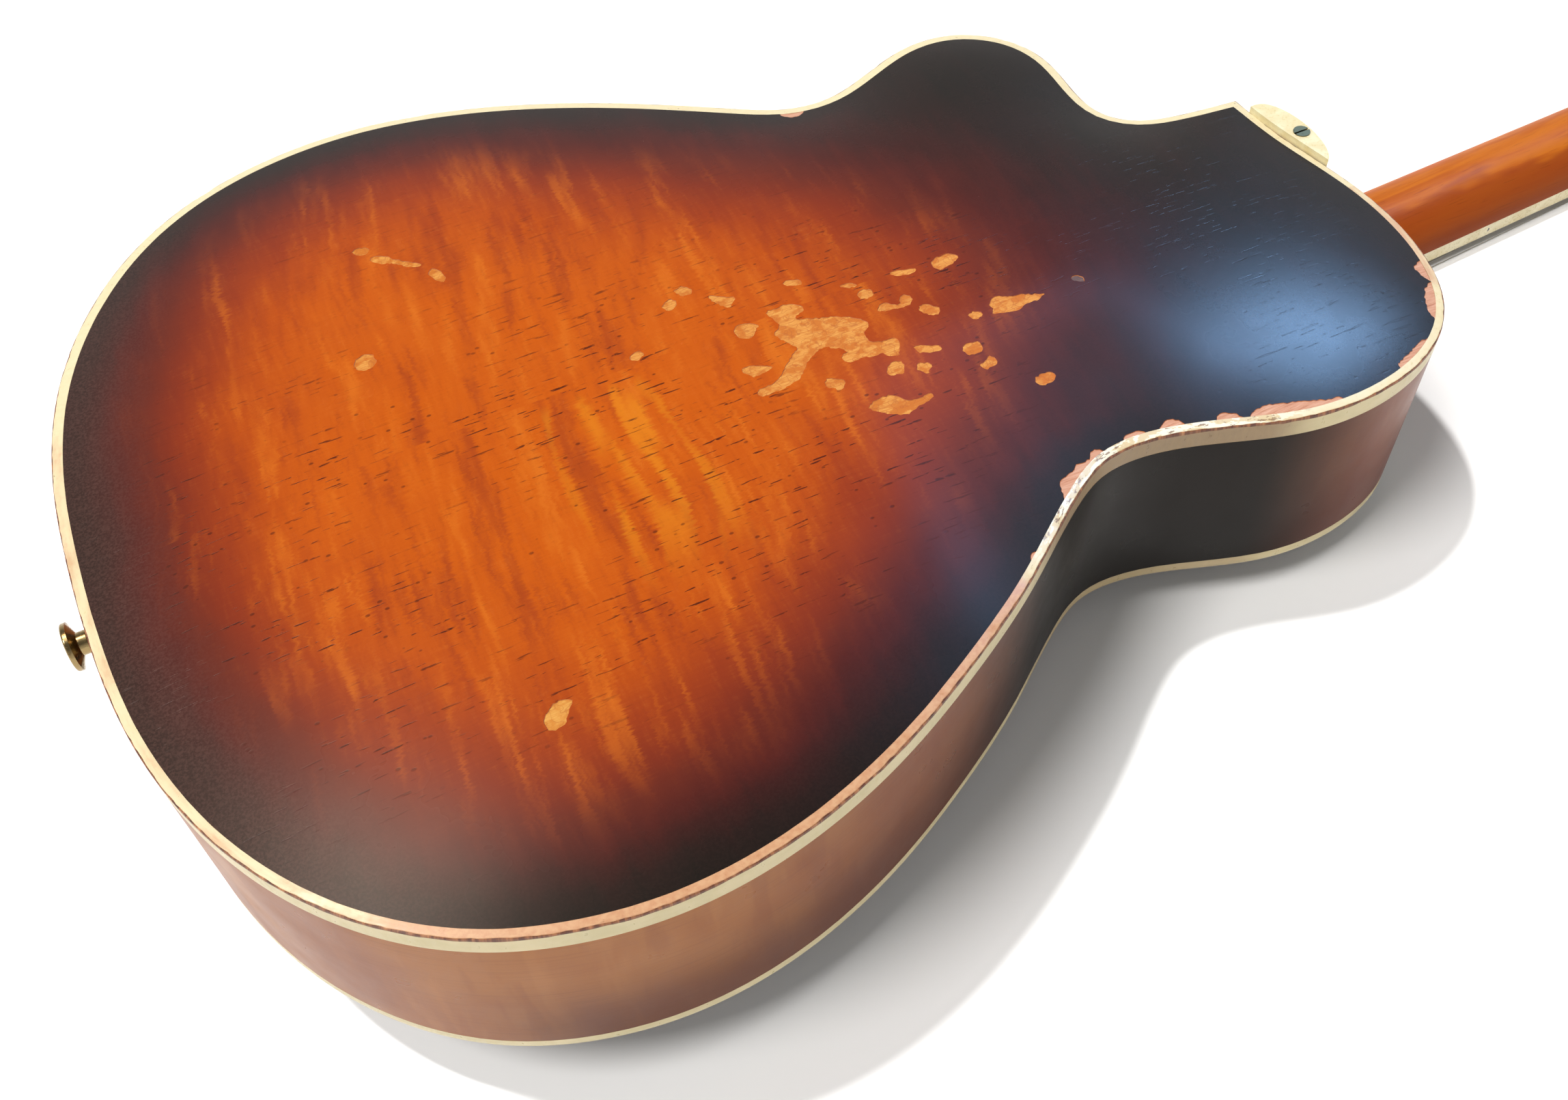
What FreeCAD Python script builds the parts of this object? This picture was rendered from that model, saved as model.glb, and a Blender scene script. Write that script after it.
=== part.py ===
import FreeCAD, Part
import math, os

# Guitar-bodied bouzouki: bound, cutaway, hollow body with an arched back and top,
# four double courses, floating bridge, trapeze tailpiece, 4-on-a-plate worm tuners.
#
# Body coordinates (mm), used while modelling:
#   x along the centreline from the tail to the head, y towards the cutaway side,
#   z out of the back.  z = 0 is the front rim, z = DEPTH is the back rim.
# At the end everything is turned by REST_TILT about y, so that the instrument lies
# face down on its saddle and nut, and moved so that the origin is the centre of the
# footprint on the surface below it.

# ---------------------------------------------------------------- driving dimensions
DEPTH = 70.0          # rib height, binding to binding
RIB_T = 2.5
PLATE_T = 3.5         # plate thickness at the rim
SHELL_T = 3.0         # plate thickness inside the rim
BIND_W = 3.5
BIND_HB = 7.2
BIND_HF = 4.0
LINING_W = 6.0
LINING_H = 9.0
ARCH_BACK = 7.0
ARCH_TOP = 6.0
ARCH_REACH = 85.0     # how far in from the rim the arch keeps rising
SCALE = 650.0         # nut to saddle
X_BRIDGE = 146.0
X_NUT = X_BRIDGE + SCALE
X_JOIN = 419.0        # where the neck meets the ribs
NECK_ANGLE = 3.0
Z_GLUE = -1.5         # fingerboard underside at X_JOIN
FB_T = 5.5
N_FRETS = 21
X_FB_END = 334.0
HW_JOIN = 18.5        # half width of the fingerboard at the body
HW_NUT = 14.5
NECK_D_JOIN = 16.0    # depth of the neck behind the fingerboard
NECK_D_NUT = 13.5
NUT_T = 4.5
HEAD_ANGLE = 12.0     # head leans back from the neck
HEAD_T = 15.0
VENEER_T = 1.5
HEAD_L = 168.0
POST_S = (40.0, 68.0, 96.0, 124.0)   # posts along the head, from the nut
POST_Y = 17.0
POST_R = 3.0
FIT = 0.05            # running clearance of posts and worm shafts
GEAR_TEETH = 14
GEAR_R = 6.2
WORM_R = 2.6
SHAFT_R = 2.0
STRING_R = (0.14, 0.14, 0.20, 0.20, 0.30, 0.22, 0.42, 0.28)
COURSE_Y_BRIDGE = (-25.5, -8.5, 8.5, 25.5)
COURSE_Y_NUT = (-10.2, -3.5, 3.5, 10.2)
PAIR_BRIDGE = 3.2
PAIR_NUT = 2.3
ACTION = 5.2          # string centres above the extended fingerboard line at the saddle
NUT_LIFT = 1.4        # string centres above the fingerboard at the nut
BUTTON_Z = 47.0       # strap button height on the tail
REST_TILT = 3.338
SHIFT = (-477.92, 0.0, 35.435)

# plan outline of the body, from the corner at the neck round the cutaway, the
# lower bout and the shoulder back to the corner
OUTLINE = [
    (417.6, 27.0), (394.4, 30.0), (379.1, 35.3), (372.1, 43.4), (370.2, 57.7), (371.2, 81.4),
    (367.0, 95.0), (357.5, 105.9), (344.4, 112.0), (330.1, 112.1), (307.2, 104.0), (288.6, 98.4),
    (275.0, 100.0), (257.2, 109.8), (225.7, 130.5), (197.8, 145.7), (171.4, 156.5), (146.2, 163.0),
    (122.1, 165.1), (98.8, 162.8), (76.9, 156.4), (57.6, 146.1), (40.7, 131.8), (26.2, 113.4),
    (14.6, 91.9), (6.6, 68.1), (1.9, 41.1), (0.2, 9.2), (0.9, -26.9), (4.1, -56.0),
    (10.5, -81.1), (20.3, -103.7), (33.5, -123.6), (49.4, -139.9), (67.4, -152.0), (88.3, -160.3),
    (111.1, -164.6), (134.8, -164.5), (159.3, -160.1), (185.2, -151.3), (213.0, -137.8), (242.0, -120.5),
    (268.4, -101.8), (282.9, -94.7), (298.4, -94.2), (320.0, -100.1), (345.8, -108.5), (366.0, -110.2),
    (385.5, -107.0), (401.5, -99.5), (412.9, -88.3), (420.7, -72.2), (424.6, -51.8), (424.2, -28.8),
    (419.0, 3.7), (417.6, 27.0),
]

V = FreeCAD.Vector
os.makedirs("parts", exist_ok=True)
PARTS = {}


def keep(name, shape):
    PARTS[name] = shape
    return shape


def box(x0, x1, y0, y1, z0, z1):
    return Part.makeBox(x1 - x0, y1 - y0, z1 - z0, V(x0, y0, z0))


def cyl(p, d, r, length):
    return Part.makeCylinder(r, length, V(*p), V(*d))


def rod(a, b, r):
    a, b = V(*a), V(*b)
    return Part.makeCylinder(r, (b - a).Length, a, b - a)


def poly_face(pts):
    return Part.Face(Part.makePolygon([V(*p) for p in pts] + [V(*pts[0])]))


def spline(pts, **kw):
    c = Part.BSplineCurve()
    c.interpolate(Points=[V(*p) for p in pts], **kw)
    return c.toShape()


# ---------------------------------------------------------------- outline and its insets
def dense_outline(n):
    c = Part.BSplineCurve()
    c.interpolate(Points=[V(x, y, 0) for x, y in OUTLINE])
    return [(p.x, p.y) for p in c.discretize(Number=n)]


DENSE = dense_outline(721)


def inset_points(d):
    """Points of the outline moved inwards by d, with the corner mitred."""
    if d == 0:
        return [OUTLINE[0]] + DENSE[6:-6:6] + [OUTLINE[0]]
    out = []
    n = len(DENSE)
    for i in range(0, n, 3):
        a = DENSE[max(i - 1, 0)]
        b = DENSE[min(i + 1, n - 1)]
        tx, ty = b[0] - a[0], b[1] - a[1]
        ln = math.hypot(tx, ty)
        # the outline runs counter-clockwise seen from the back
        px, py = DENSE[i][0] - ty / ln * d, DENSE[i][1] + tx / ln * d
        near = min((px - q[0]) ** 2 + (py - q[1]) ** 2 for q in DENSE[::4])
        if near > (d - 0.12) ** 2:
            out.append((px, py))
    # the two ends cross near the corner: extend both straight to where they meet
    p, q = out[0], out[1]
    r, s = out[-1], out[-2]
    d1 = (p[0] - q[0], p[1] - q[1])
    d2 = (r[0] - s[0], r[1] - s[1])
    det = d1[0] * (-d2[1]) + d2[0] * d1[1]
    t = ((r[0] - p[0]) * (-d2[1]) + d2[0] * (r[1] - p[1])) / det
    corner = (p[0] + d1[0] * t, p[1] + d1[1] * t)
    mid = out[::2] if len(out) % 2 else out[::2] + [out[-1]]
    pts = [corner]
    for m in mid:
        if math.hypot(m[0] - pts[-1][0], m[1] - pts[-1][1]) > 3.0:
            pts.append(m)
    while math.hypot(pts[-1][0] - corner[0], pts[-1][1] - corner[1]) < 3.0:
        pts.pop()
    return pts + [corner]


def area(pts):
    return 0.5 * sum(a[0] * b[1] - b[0] * a[1] for a, b in zip(pts, pts[1:]))


if area(DENSE) < 0:
    raise SystemExit("outline runs the wrong way")

_faces = {}


def plan_face(d):
    if d not in _faces:
        e = spline([(x, y, 0) for x, y in inset_points(d)])
        _faces[d] = Part.Face(Part.Wire([e]))
    return _faces[d]


def prism(d, z0, z1):
    f = plan_face(d).copy()
    f.translate(V(0, 0, z0))
    return f.extrude(V(0, 0, z1 - z0))


def ring(d0, d1, z0, z1):
    return prism(d0, z0, z1).cut(prism(d1, z0 - 1, z1 + 1))


# ---------------------------------------------------------------- arch
def rim_distance(x, y):
    """Smooth distance from the rim: pi over the rim's integral of ds / r^2."""
    s = 0.0
    for (ax, ay), (bx, by) in zip(DENSE[::5], DENSE[5::5]):
        mx, my = (ax + bx) / 2 - x, (ay + by) / 2 - y
        s += math.hypot(bx - ax, by - ay) / max(mx * mx + my * my, 4.0)
    return math.pi / s


def inside(x, y):
    c = False
    for (ax, ay), (bx, by) in zip(DENSE[::5], DENSE[5::5]):
        if (ay > y) != (by > y) and x < ax + (y - ay) * (bx - ax) / (by - ay):
            c = not c
    return c


GX = [-22.0 + 15.6 * i for i in range(31)]
GY = [-192.0 + 16.0 * j for j in range(25)]


def arch_unit(x, y):
    u = rim_distance(x, y) / ARCH_REACH
    if not inside(x, y):
        return -2.0 * min(u, 0.8)
    u = min(u, 1.0)
    return 1.0 - (1.0 - u) ** 2


ARCH = [[arch_unit(x, y) for y in GY] for x in GX]


def arch_face(z0, rise):
    s = Part.BSplineSurface()
    s.interpolate([[V(x, y, z0 + rise * ARCH[i][j]) for j, y in enumerate(GY)] for i, x in enumerate(GX)])
    return s.toShape()


# ---------------------------------------------------------------- back
above_back = arch_face(DEPTH, ARCH_BACK).extrude(V(0, 0, 40))
above_back_in = arch_face(DEPTH - SHELL_T, ARCH_BACK).extrude(V(0, 0, 40))
back = prism(BIND_W, DEPTH - PLATE_T, DEPTH + 12).cut(above_back)
cavity_b = prism(13.0, DEPTH - PLATE_T - 1, DEPTH + 12).cut(above_back_in)
back = back.cut(cavity_b)
keep("back_plate", back)

# ---------------------------------------------------------------- top, with two f-holes
below_top = arch_face(0.0, -ARCH_TOP).extrude(V(0, 0, -40))
below_top_in = arch_face(SHELL_T, -ARCH_TOP).extrude(V(0, 0, -40))
top = prism(BIND_W, -12, PLATE_T).cut(below_top)
cavity_t = prism(13.0, -12, PLATE_T + 1).cut(below_top_in)
top = top.cut(cavity_t)


def f_hole(side):
    # a slim S between two round eyes, widest in the middle
    cx, cy = 152.0, 78.0 * side
    left, right = [], []
    n = 12
    for k in range(n + 1):
        t = k / n
        x = cx - 44 + 88 * t
        y = cy + side * (8.5 * math.cos(math.pi * t) - 8.0 * (t - 0.5))
        w = 1.3 + 2.3 * math.sin(math.pi * t) ** 2
        left.append((x, y - w, -20))
        right.append((x, y + w, -20))
    e1 = spline(left)
    e2 = spline(right[::-1])
    e3 = Part.makeLine(V(*left[-1]), V(*right[-1]))
    e4 = Part.makeLine(V(*right[0]), V(*left[0]))
    slot = Part.Face(Part.Wire([e1, e3, e2, e4])).extrude(V(0, 0, 40))
    eye1 = cyl((cx - 44, cy + side * (8.5 + 4.0) - side * 4.2, -20), (0, 0, 1), 5.6, 40)
    eye2 = cyl((cx + 44, cy + side * (-8.5 - 4.0) + side * 3.6, -20), (0, 0, 1), 4.6, 40)
    notch = box(cx - 0.8, cx + 0.8, cy - 6.2, cy + 6.2, -20, 20)
    return slot.fuse([eye1, eye2, notch])


for sd in (-1, 1):
    top = top.cut(f_hole(sd))
keep("top_plate", top)

# ---------------------------------------------------------------- ribs, binding, lining, blocks
rib = ring(0.0, RIB_T, BIND_HF, DEPTH - BIND_HB)
bind_back = ring(0.0, BIND_W, DEPTH - BIND_HB, DEPTH)
bind_top = ring(0.0, BIND_W, 0.0, BIND_HF)

inner = prism(RIB_T, -1, DEPTH + 1)
LB0, LB1 = DEPTH - BIND_HB, DEPTH - PLATE_T
zone_neck = box(362.0, 440.0, -34.0, 30.0, -5, DEPTH + 5)
zone_tail = box(-10.0, 24.0, -42.0, 42.0, -5, DEPTH + 5)
lin_back = ring(RIB_T, RIB_T + LINING_W, LB1 - LINING_H, LB0).fuse(ring(BIND_W, RIB_T + LINING_W, LB0, LB1))
lin_top = ring(RIB_T, RIB_T + LINING_W, BIND_HF, PLATE_T + LINING_H).fuse(ring(BIND_W, RIB_T + LINING_W, PLATE_T, BIND_HF))
lin_back = lin_back.cut(zone_neck).cut(zone_tail)
lin_top = lin_top.cut(zone_neck).cut(zone_tail)


def block(zone):
    core = prism(RIB_T, BIND_HF, DEPTH - BIND_HB).fuse(
        [prism(BIND_W, DEPTH - BIND_HB, DEPTH - PLATE_T), prism(BIND_W, PLATE_T, BIND_HF)])
    return core.common(zone)


neck_block = block(zone_neck)
tail_block = block(zone_tail)

# ---------------------------------------------------------------- neck
ta = math.tan(math.radians(NECK_ANGLE))


def z_glue(x):
    return Z_GLUE + (x - X_JOIN) * ta


def half_w(x):
    return HW_JOIN + (HW_NUT - HW_JOIN) * (x - X_JOIN) / (X_NUT - X_JOIN)


def neck_depth(x):
    t = min(max((x - X_JOIN) / (X_NUT - X_JOIN), -0.1), 1.0)
    return NECK_D_JOIN + (NECK_D_NUT - NECK_D_JOIN) * t


def d_section(x, w, depth, zg):
    pts = []
    for k in range(0, 13):
        a = math.pi * k / 12
        pts.append((x, w * math.cos(a), zg + depth * math.sin(a) ** 0.86))
    arc = spline(pts)
    return Part.Wire([arc, Part.makeLine(V(*pts[-1]), V(*pts[0]))])


def loft(wires, ruled=False):
    return Part.makeLoft(wires, True, ruled)


xs = (X_JOIN - 12, 520.0, 660.0, X_NUT - 8.0, X_NUT + NUT_T)
shaft = loft([d_section(x, half_w(x), neck_depth(x), z_glue(x)) for x in xs])


def heel_section(z, hw, out):
    x0 = X_JOIN - 14.0
    xe = X_JOIN
    pts = [(xe, -hw, z)]
    for k in range(1, 8):
        a = -math.pi / 2 + math.pi * k / 8
        pts.append((xe + out * math.cos(a) ** 0.9, hw * math.sin(a), z))
    pts.append((xe, hw, z))
    arc = spline(pts)
    return Part.Wire([arc, Part.makeLine(V(xe, hw, z), V(x0, hw, z)),
                      Part.makeLine(V(x0, hw, z), V(x0, -hw, z)),
                      Part.makeLine(V(x0, -hw, z), V(xe, -hw, z))])


heel = loft([heel_section(DEPTH - 0.5, 18.5, 8.0), heel_section(52.0, 14.5, 7.0), heel_section(34.0, 13.5, 9.5),
             heel_section(20.0, 14.5, 19.0), heel_section(10.0, 16.5, 34.0), heel_section(4.0, 17.0, 42.0)])
neck = shaft.fuse(heel)

# head: local frame at the nut, s along the head, y across, h out of its back
ha = math.radians(HEAD_ANGLE - NECK_ANGLE)   # the head leans back, away from the strings
ha_tot = math.radians(NECK_ANGLE + HEAD_ANGLE)
HS = V(math.cos(ha_tot), 0, math.sin(ha_tot))
HH = V(-math.sin(ha_tot), 0, math.cos(ha_tot))
H0 = V(X_NUT + NUT_T, 0, z_glue(X_NUT + NUT_T))   # where the head face begins, behind the nut


def hp(s, y, h):
    return H0 + HS * s + V(0, y, 0) + HH * h


HEAD_OUT = [(0, 15.0), (10, 17.5), (22, 24.0), (36, 27.5), (60, 28.5), (96, 29.5), (130, 31.5), (148, 32.5),
            (158, 30.0), (164, 22.0), (162, 12.0), (166, 0.0)]


def head_face(h, shrink=0.0):
    right = [hp(s, y - shrink, h) for s, y in HEAD_OUT[:-1]]
    tip = hp(HEAD_OUT[-1][0], 0, h)
    left = [hp(s, -(y - shrink), h) for s, y in HEAD_OUT[:-1]][::-1]
    c1 = Part.BSplineCurve()
    c1.interpolate(Points=right + [tip])
    c2 = Part.BSplineCurve()
    c2.interpolate(Points=[tip] + left)
    return Part.Face(Part.Wire([c1.toShape(), c2.toShape(), Part.makeLine(left[-1], right[0])]))


head = head_face(0.0).extrude(HH * HEAD_T)
# volute: the neck swells into the head behind the nut
vol_wires = []
for x, w, dd in ((X_NUT - 30.0, 14.6, 13.5), (X_NUT - 6.0, 14.8, 15.0), (X_NUT + 12.0, 15.6, 20.5), (X_NUT + 26.0, 15.2, 22.5)):
    vol_wires.append(d_section(x, w, dd, z_glue(x) + (0.0 if x < X_NUT + NUT_T else (x - X_NUT - NUT_T) * (math.tan(ha_tot) - ta) + 0.4)))
volute = loft(vol_wires)
neck = neck.fuse([head, volute])
neck = neck.cut(prism(0.0, -5, DEPTH + 5))
# nothing of the neck stands in front of the glue plane or the head face
cut_front = poly_face([(X_JOIN - 60, -60, z_glue(X_JOIN - 60)), (X_NUT + NUT_T, -60, z_glue(X_NUT + NUT_T)),
                       (X_NUT + NUT_T + 220 * math.cos(ha_tot), -60, z_glue(X_NUT + NUT_T) + 220 * math.sin(ha_tot)),
                       (X_NUT + 230, -60, -80), (X_JOIN - 60, -60, -80)]).extrude(V(0, 120, 0))
neck = neck.cut(cut_front)
# truss rod channel, opened behind the nut
RX0, RX1 = X_JOIN + 6.0, X_NUT - 2.0
chan = poly_face([(RX0, -3, z_glue(RX0) - 0.01), (RX1, -3, z_glue(RX1) - 0.01),
                  (RX1, -3, z_glue(RX1) + 8.0), (RX0, -3, z_glue(RX0) + 8.0)]).extrude(V(0, 6, 0))
rod_pocket = poly_face([hp(-8.0, -4, -1), hp(20.0, -4, -1), hp(20.0, -4, 5.0), hp(-8.0, -4, 5.0)]).extrude(V(0, 8, 0))
neck = neck.cut(chan)
rod_solid = rod((RX0 + 1.0, 0, z_glue(RX0) + 4.6), (RX1 - 1.0, 0, z_glue(RX1) + 4.6), 2.5)
keep("truss_rod", rod_solid)

# ---------------------------------------------------------------- fingerboard
def board_strip(x0, x1, y0f, y1f, zo0, zo1):
    """Tapered slab between two offsets from the glue plane (zo negative is in front)."""
    def quad(zo):
        return Part.makePolygon([V(x0, y0f(x0), z_glue(x0) + zo), V(x1, y0f(x1), z_glue(x1) + zo),
                                 V(x1, y1f(x1), z_glue(x1) + zo), V(x0, y1f(x0), z_glue(x0) + zo),
                                 V(x0, y0f(x0), z_glue(x0) + zo)])
    return Part.makeLoft([quad(zo0), quad(zo1)], True, True)


FBB = 1.8   # side binding of the fingerboard
board = board_strip(X_FB_END + FBB, X_NUT, lambda x: -half_w(x) + FBB, lambda x: half_w(x) - FBB, 0.0, -FB_T)
bnd = board_strip(X_FB_END, X_NUT, lambda x: -half_w(x), lambda x: half_w(x), 0.0, -FB_T).cut(
    board_strip(X_FB_END + FBB, X_NUT + 5, lambda x: -half_w(x) + FBB, lambda x: half_w(x) - FBB, 1.0, -FB_T - 1.0))
nut = board_strip(X_NUT, X_NUT + NUT_T, lambda x: -half_w(x), lambda x: half_w(x), 0.0, -FB_T - 1.0)


def fret_x(n):
    return X_NUT - SCALE * (1.0 - 2.0 ** (-n / 12.0))


frets = []
for n in range(1, N_FRETS + 1):
    x = fret_x(n)
    w = half_w(x) - 0.4
    zf = z_glue(x) - FB_T
    crown = cyl((x, -w, zf + 0.35), (0, 1, 0), 1.25, 2 * w).cut(
        board_strip(x - 4, x + 4, lambda q: -30.0, lambda q: 30.0, 4.0, -FB_T - 0.004))
    frets.append(crown)
dots = []
for n, ys in ((3, (0,)), (5, (0,)), (7, (0,)), (10, (0,)), (12, (-6.5, 6.5)), (15, (0,)), (17, (0,)), (19, (0,))):
    x = (fret_x(n) + fret_x(n - 1)) / 2
    for yy in ys:
        dots.append(cyl((x, yy, z_glue(x) - FB_T), (math.sin(math.radians(NECK_ANGLE)), 0, 1), 2.6, 1.2))
dots = Part.makeCompound(dots)
slope_cut = board_strip(X_FB_END - 5, X_NUT + 5, lambda x: -40, lambda x: 40, -FB_T, -FB_T - 4)
dots_l = []
for d in dots.Solids:
    dots_l.append(d.cut(slope_cut))
board = board.cut(dots_l)
side_dots = []
for n in (3, 5, 7, 10, 12, 15):
    x = (fret_x(n) + fret_x(n - 1)) / 2
    side_dots.append(cyl((x, -half_w(x) + 1.0, z_glue(x) - FB_T / 2), (0, -1, 0), 0.9, 1.0).cut(
        board_strip(X_FB_END, X_NUT, lambda q: -half_w(q) - 5, lambda q: -half_w(q), 5, -20)))
bnd = bnd.cut(side_dots)
keep("fingerboard", board)
keep("fingerboard_binding", bnd)
keep("nut", nut)
keep("frets", Part.makeCompound(frets))
keep("fret_markers", Part.makeCompound(dots_l))
keep("side_dots", Part.makeCompound(side_dots))

# wedge that carries the fingerboard over the top plate
support = poly_face([(X_FB_END + 4, -13, 12), (X_FB_END + 4, -13, z_glue(X_FB_END + 4)),
                     (X_JOIN - 5.0, -13, z_glue(X_JOIN - 5.0)), (X_JOIN - 5.0, -13, 12)]).extrude(V(0, 26, 0))
front_solid = prism(0.0, 0.0, 30).fuse(prism(BIND_W, -12, 20).cut(below_top))
support = support.cut(front_solid)
support = Part.makeCompound([s for s in support.Solids if s.Volume > 5]) if len(support.Solids) > 1 else support
keep("fingerboard_support", support)

# ---------------------------------------------------------------- heel cap and its screw
CAP_T = 3.0
cap = Part.Face(heel_section(DEPTH - 0.5, 19.0, 9.0)).extrude(V(0, 0, CAP_T))
cap = cap.cut(prism(0.0, -5, DEPTH + 20)).common(box(X_JOIN - 3, 460, -40, 40, 0, 100))
cap_hole = cyl((X_JOIN + 5.2, -1.0, DEPTH - 14), (0, 0, 1), 1.5, 30)
screw_cap = cyl((X_JOIN + 5.2, -1.0, DEPTH - 12), (0, 0, 1), 1.5, 12 + CAP_T - 2.0).fuse(
    Part.makeCone(1.5, 2.9, 1.6, V(X_JOIN + 5.2, -1.0, DEPTH + CAP_T - 2.1 - 0.0))).fuse(
    cyl((X_JOIN + 5.2, -1.0, DEPTH - 0.5 + CAP_T), (0, 0, 1), 2.9, 0.3))
cap = cap.cut(screw_cap)
neck = neck.cut(screw_cap)
screw_cap = screw_cap.cut(box(X_JOIN + 1, X_JOIN + 9, -1.35, -0.65, DEPTH + CAP_T - 1.1, DEPTH + 9))
keep("heel_cap", cap)
keep("heel_cap_screw", screw_cap)

# ---------------------------------------------------------------- strap button on the tail
felt = cyl((-1.0, 0, BUTTON_Z), (-1, 0, 0), 7.0, 1.2)
felt = cyl((3.0, 0, BUTTON_Z), (-1, 0, 0), 7.0, 4.2).cut(prism(0.0, 0, DEPTH)).cut(cyl((5, 0, BUTTON_Z), (-1, 0, 0), 2.1, 20))
but = Part.makeCone(5.2, 3.6, 2.6, V(-1.2, 0, BUTTON_Z), V(-1, 0, 0)).fuse(
    [cyl((-3.8, 0, BUTTON_Z), (-1, 0, 0), 3.6, 3.2), Part.makeCone(3.6, 7.2, 1.6, V(-6.4, 0, BUTTON_Z), V(-1, 0, 0)),
     cyl((-8.0, 0, BUTTON_Z), (-1, 0, 0), 7.5, 1.6)])
but = but.makeFillet(0.6, [e for e in but.Edges if abs(e.BoundBox.XMin + 9.6) < 0.05 and e.Length > 40][:1])
scr = cyl((18.0, 0, BUTTON_Z), (-1, 0, 0), 1.9, 26.4).fuse(Part.makeCone(1.9, 3.6, 1.7, V(-8.1, 0, BUTTON_Z), V(-1, 0, 0)))
but = but.cut(scr)
scr_hole = cyl((18.0, 0, BUTTON_Z), (-1, 0, 0), 1.9, 30)
scr = scr.cut(box(-12, -9.0, -0.5, 0.5, BUTTON_Z - 5, BUTTON_Z + 5)).cut(box(-12, -9.0, -5, 5, BUTTON_Z - 0.5, BUTTON_Z + 0.5))
tail_block = tail_block.cut(scr_hole)
rib = rib.cut(scr_hole)
keep("strap_button", but)
keep("strap_button_screw", scr)
keep("strap_button_felt", felt)

# ---------------------------------------------------------------- tailpiece
BR_W = 17.0
brk = poly_face([(-1.6, -BR_W, -1.6), (14.0, -BR_W, -1.6), (14.0, -BR_W, 0.0), (4.0, -BR_W, 0.0), (4.0, -BR_W, 34.0), (-1.6, -BR_W, 34.0)]).extrude(V(0, 2 * BR_W, 0))
brk = brk.cut(prism(0.0, 0.0, DEPTH)).cut(prism(BIND_W, -12, 5).cut(below_top))
knuckle = cyl((12.0, -BR_W, -4.0), (0, 1, 0), 2.6, 2 * BR_W).fuse(box(9.4, 14.0, -BR_W, BR_W, -4.0, -1.6))
knuckle = knuckle.cut(cyl((12.0, -BR_W - 1, -4.0), (0, 1, 0), 1.55, 2 * BR_W + 2)).cut(box(5, 20, -9.0, 9.0, -8, -1.61)).cut(
    prism(BIND_W, -12, 5).cut(below_top))
brk = brk.fuse(knuckle)
ts = []
for yy, zz in ((-11.0, 12.0), (11.0, 12.0), (0.0, 27.0)):
    sh = cyl((16.0, yy, zz), (-1, 0, 0), 1.4, 17.6)
    hd = Part.makeSphere(3.1, V(0.0, yy, zz)).common(box(-5, -1.6, yy - 5, yy + 5, zz - 5, zz + 5))
    brk = brk.cut(cyl((16.0, yy, zz), (-1, 0, 0), 1.4, 20))
    rib = rib.cut(sh)
    tail_block = tail_block.cut(sh)
    ts.append(sh.fuse(hd).cut(box(-5, -2.5, yy - 0.4, yy + 0.4, zz - 4, zz + 4)))
keep("tailpiece_bracket", brk)
keep("tailpiece_screws", Part.makeCompound(ts))
TX0, TX1, TZ = 66.0, 82.0, -14.0
yoke = cyl((12.0, -8.8, -4.0), (0, 1, 0), 2.6, 17.6).cut(cyl((12.0, -10, -4.0), (0, 1, 0), 1.55, 20))
arm = poly_face([(14.0, -8.6, -4.0), (14.0, 8.6, -4.0), (TX0 + 2, 30.0, -4.0), (TX0 + 2, -30.0, -4.0)]).extrude(V(0, 0, 2.0))
win = poly_face([(22.0, -6.0, -6.0), (22.0, 6.0, -6.0), (TX0 - 5, 22.5, -6.0), (TX0 - 5, -22.5, -6.0)]).extrude(V(0, 0, 8.0))
arm = arm.cut(win)
arm.rotate(V(12, 0, -4.0), V(0, 1, 0), math.degrees(math.atan2(8.0, TX0 - 12)))
bar = box(TX0, TX1, -31.0, 31.0, TZ - 2.0, TZ + 2.0)
bar = bar.makeFillet(1.2, [e for e in bar.Edges if e.Length > 50])
tailp = yoke.fuse([arm, bar]).cut(cyl((12.0, -10, -4.0), (0, 1, 0), 1.55, 20))
keep("tailpiece_hinge_pin", cyl((12.0, -BR_W, -4.0), (0, 1, 0), 1.55, 2 * BR_W))

# ---------------------------------------------------------------- strings: paths first
def z_bridge():
    return z_glue(X_BRIDGE) - FB_T - ACTION


Z_SADDLE = z_bridge()
Z_NUTS = z_glue(X_NUT) - FB_T - NUT_LIFT
paths = []
for i in range(8):
    c, k = divmod(i, 2)
    o = -0.5 if k == 0 else 0.5
    yb = COURSE_Y_BRIDGE[c] + o * PAIR_BRIDGE
    yn = COURSE_Y_NUT[c] + o * PAIR_NUT
    side = -1 if i < 4 else 1
    rank = i if i < 4 else 7 - i
    paths.append((yb, yn, side, rank))
COIL_R = 3.9
COIL_H = -7.0   # middle of the winding, in front of the head face
courses = [[], [], [], []]
slots = []
for i, (yb, yn, side, rank) in enumerate(paths):
    r = STRING_R[i]
    p0 = V(TX0 + 9.0, yb * 1.02, TZ - 2.0 - r)
    p1 = V(X_BRIDGE, yb, Z_SADDLE)
    p2 = V(X_NUT + 1.0, yn, Z_NUTS + 1.0 * ta)
    ye = side * (POST_Y - COIL_R - 0.45 - r)
    p3 = hp(POST_S[rank] + 1.0, ye, COIL_H)
    sol = [Part.makeCylinder(r, (b - a).Length, a, b - a) for a, b in ((p0, p1), (p1, p2), (p2, p3))]
    st = sol[0].fuse([sol[1], sol[2], Part.makeSphere(r, p1), Part.makeSphere(r, p2), cyl((p0.x, p0.y, p0.z - 0.6), (0, 0, 1), 1.9, 1.2 + r)])
    courses[i // 2].append(st)
for c in range(4):
    keep("strings_course_%d" % (c + 1), Part.makeCompound(courses[c]))
keep("tailpiece", tailp)

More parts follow.
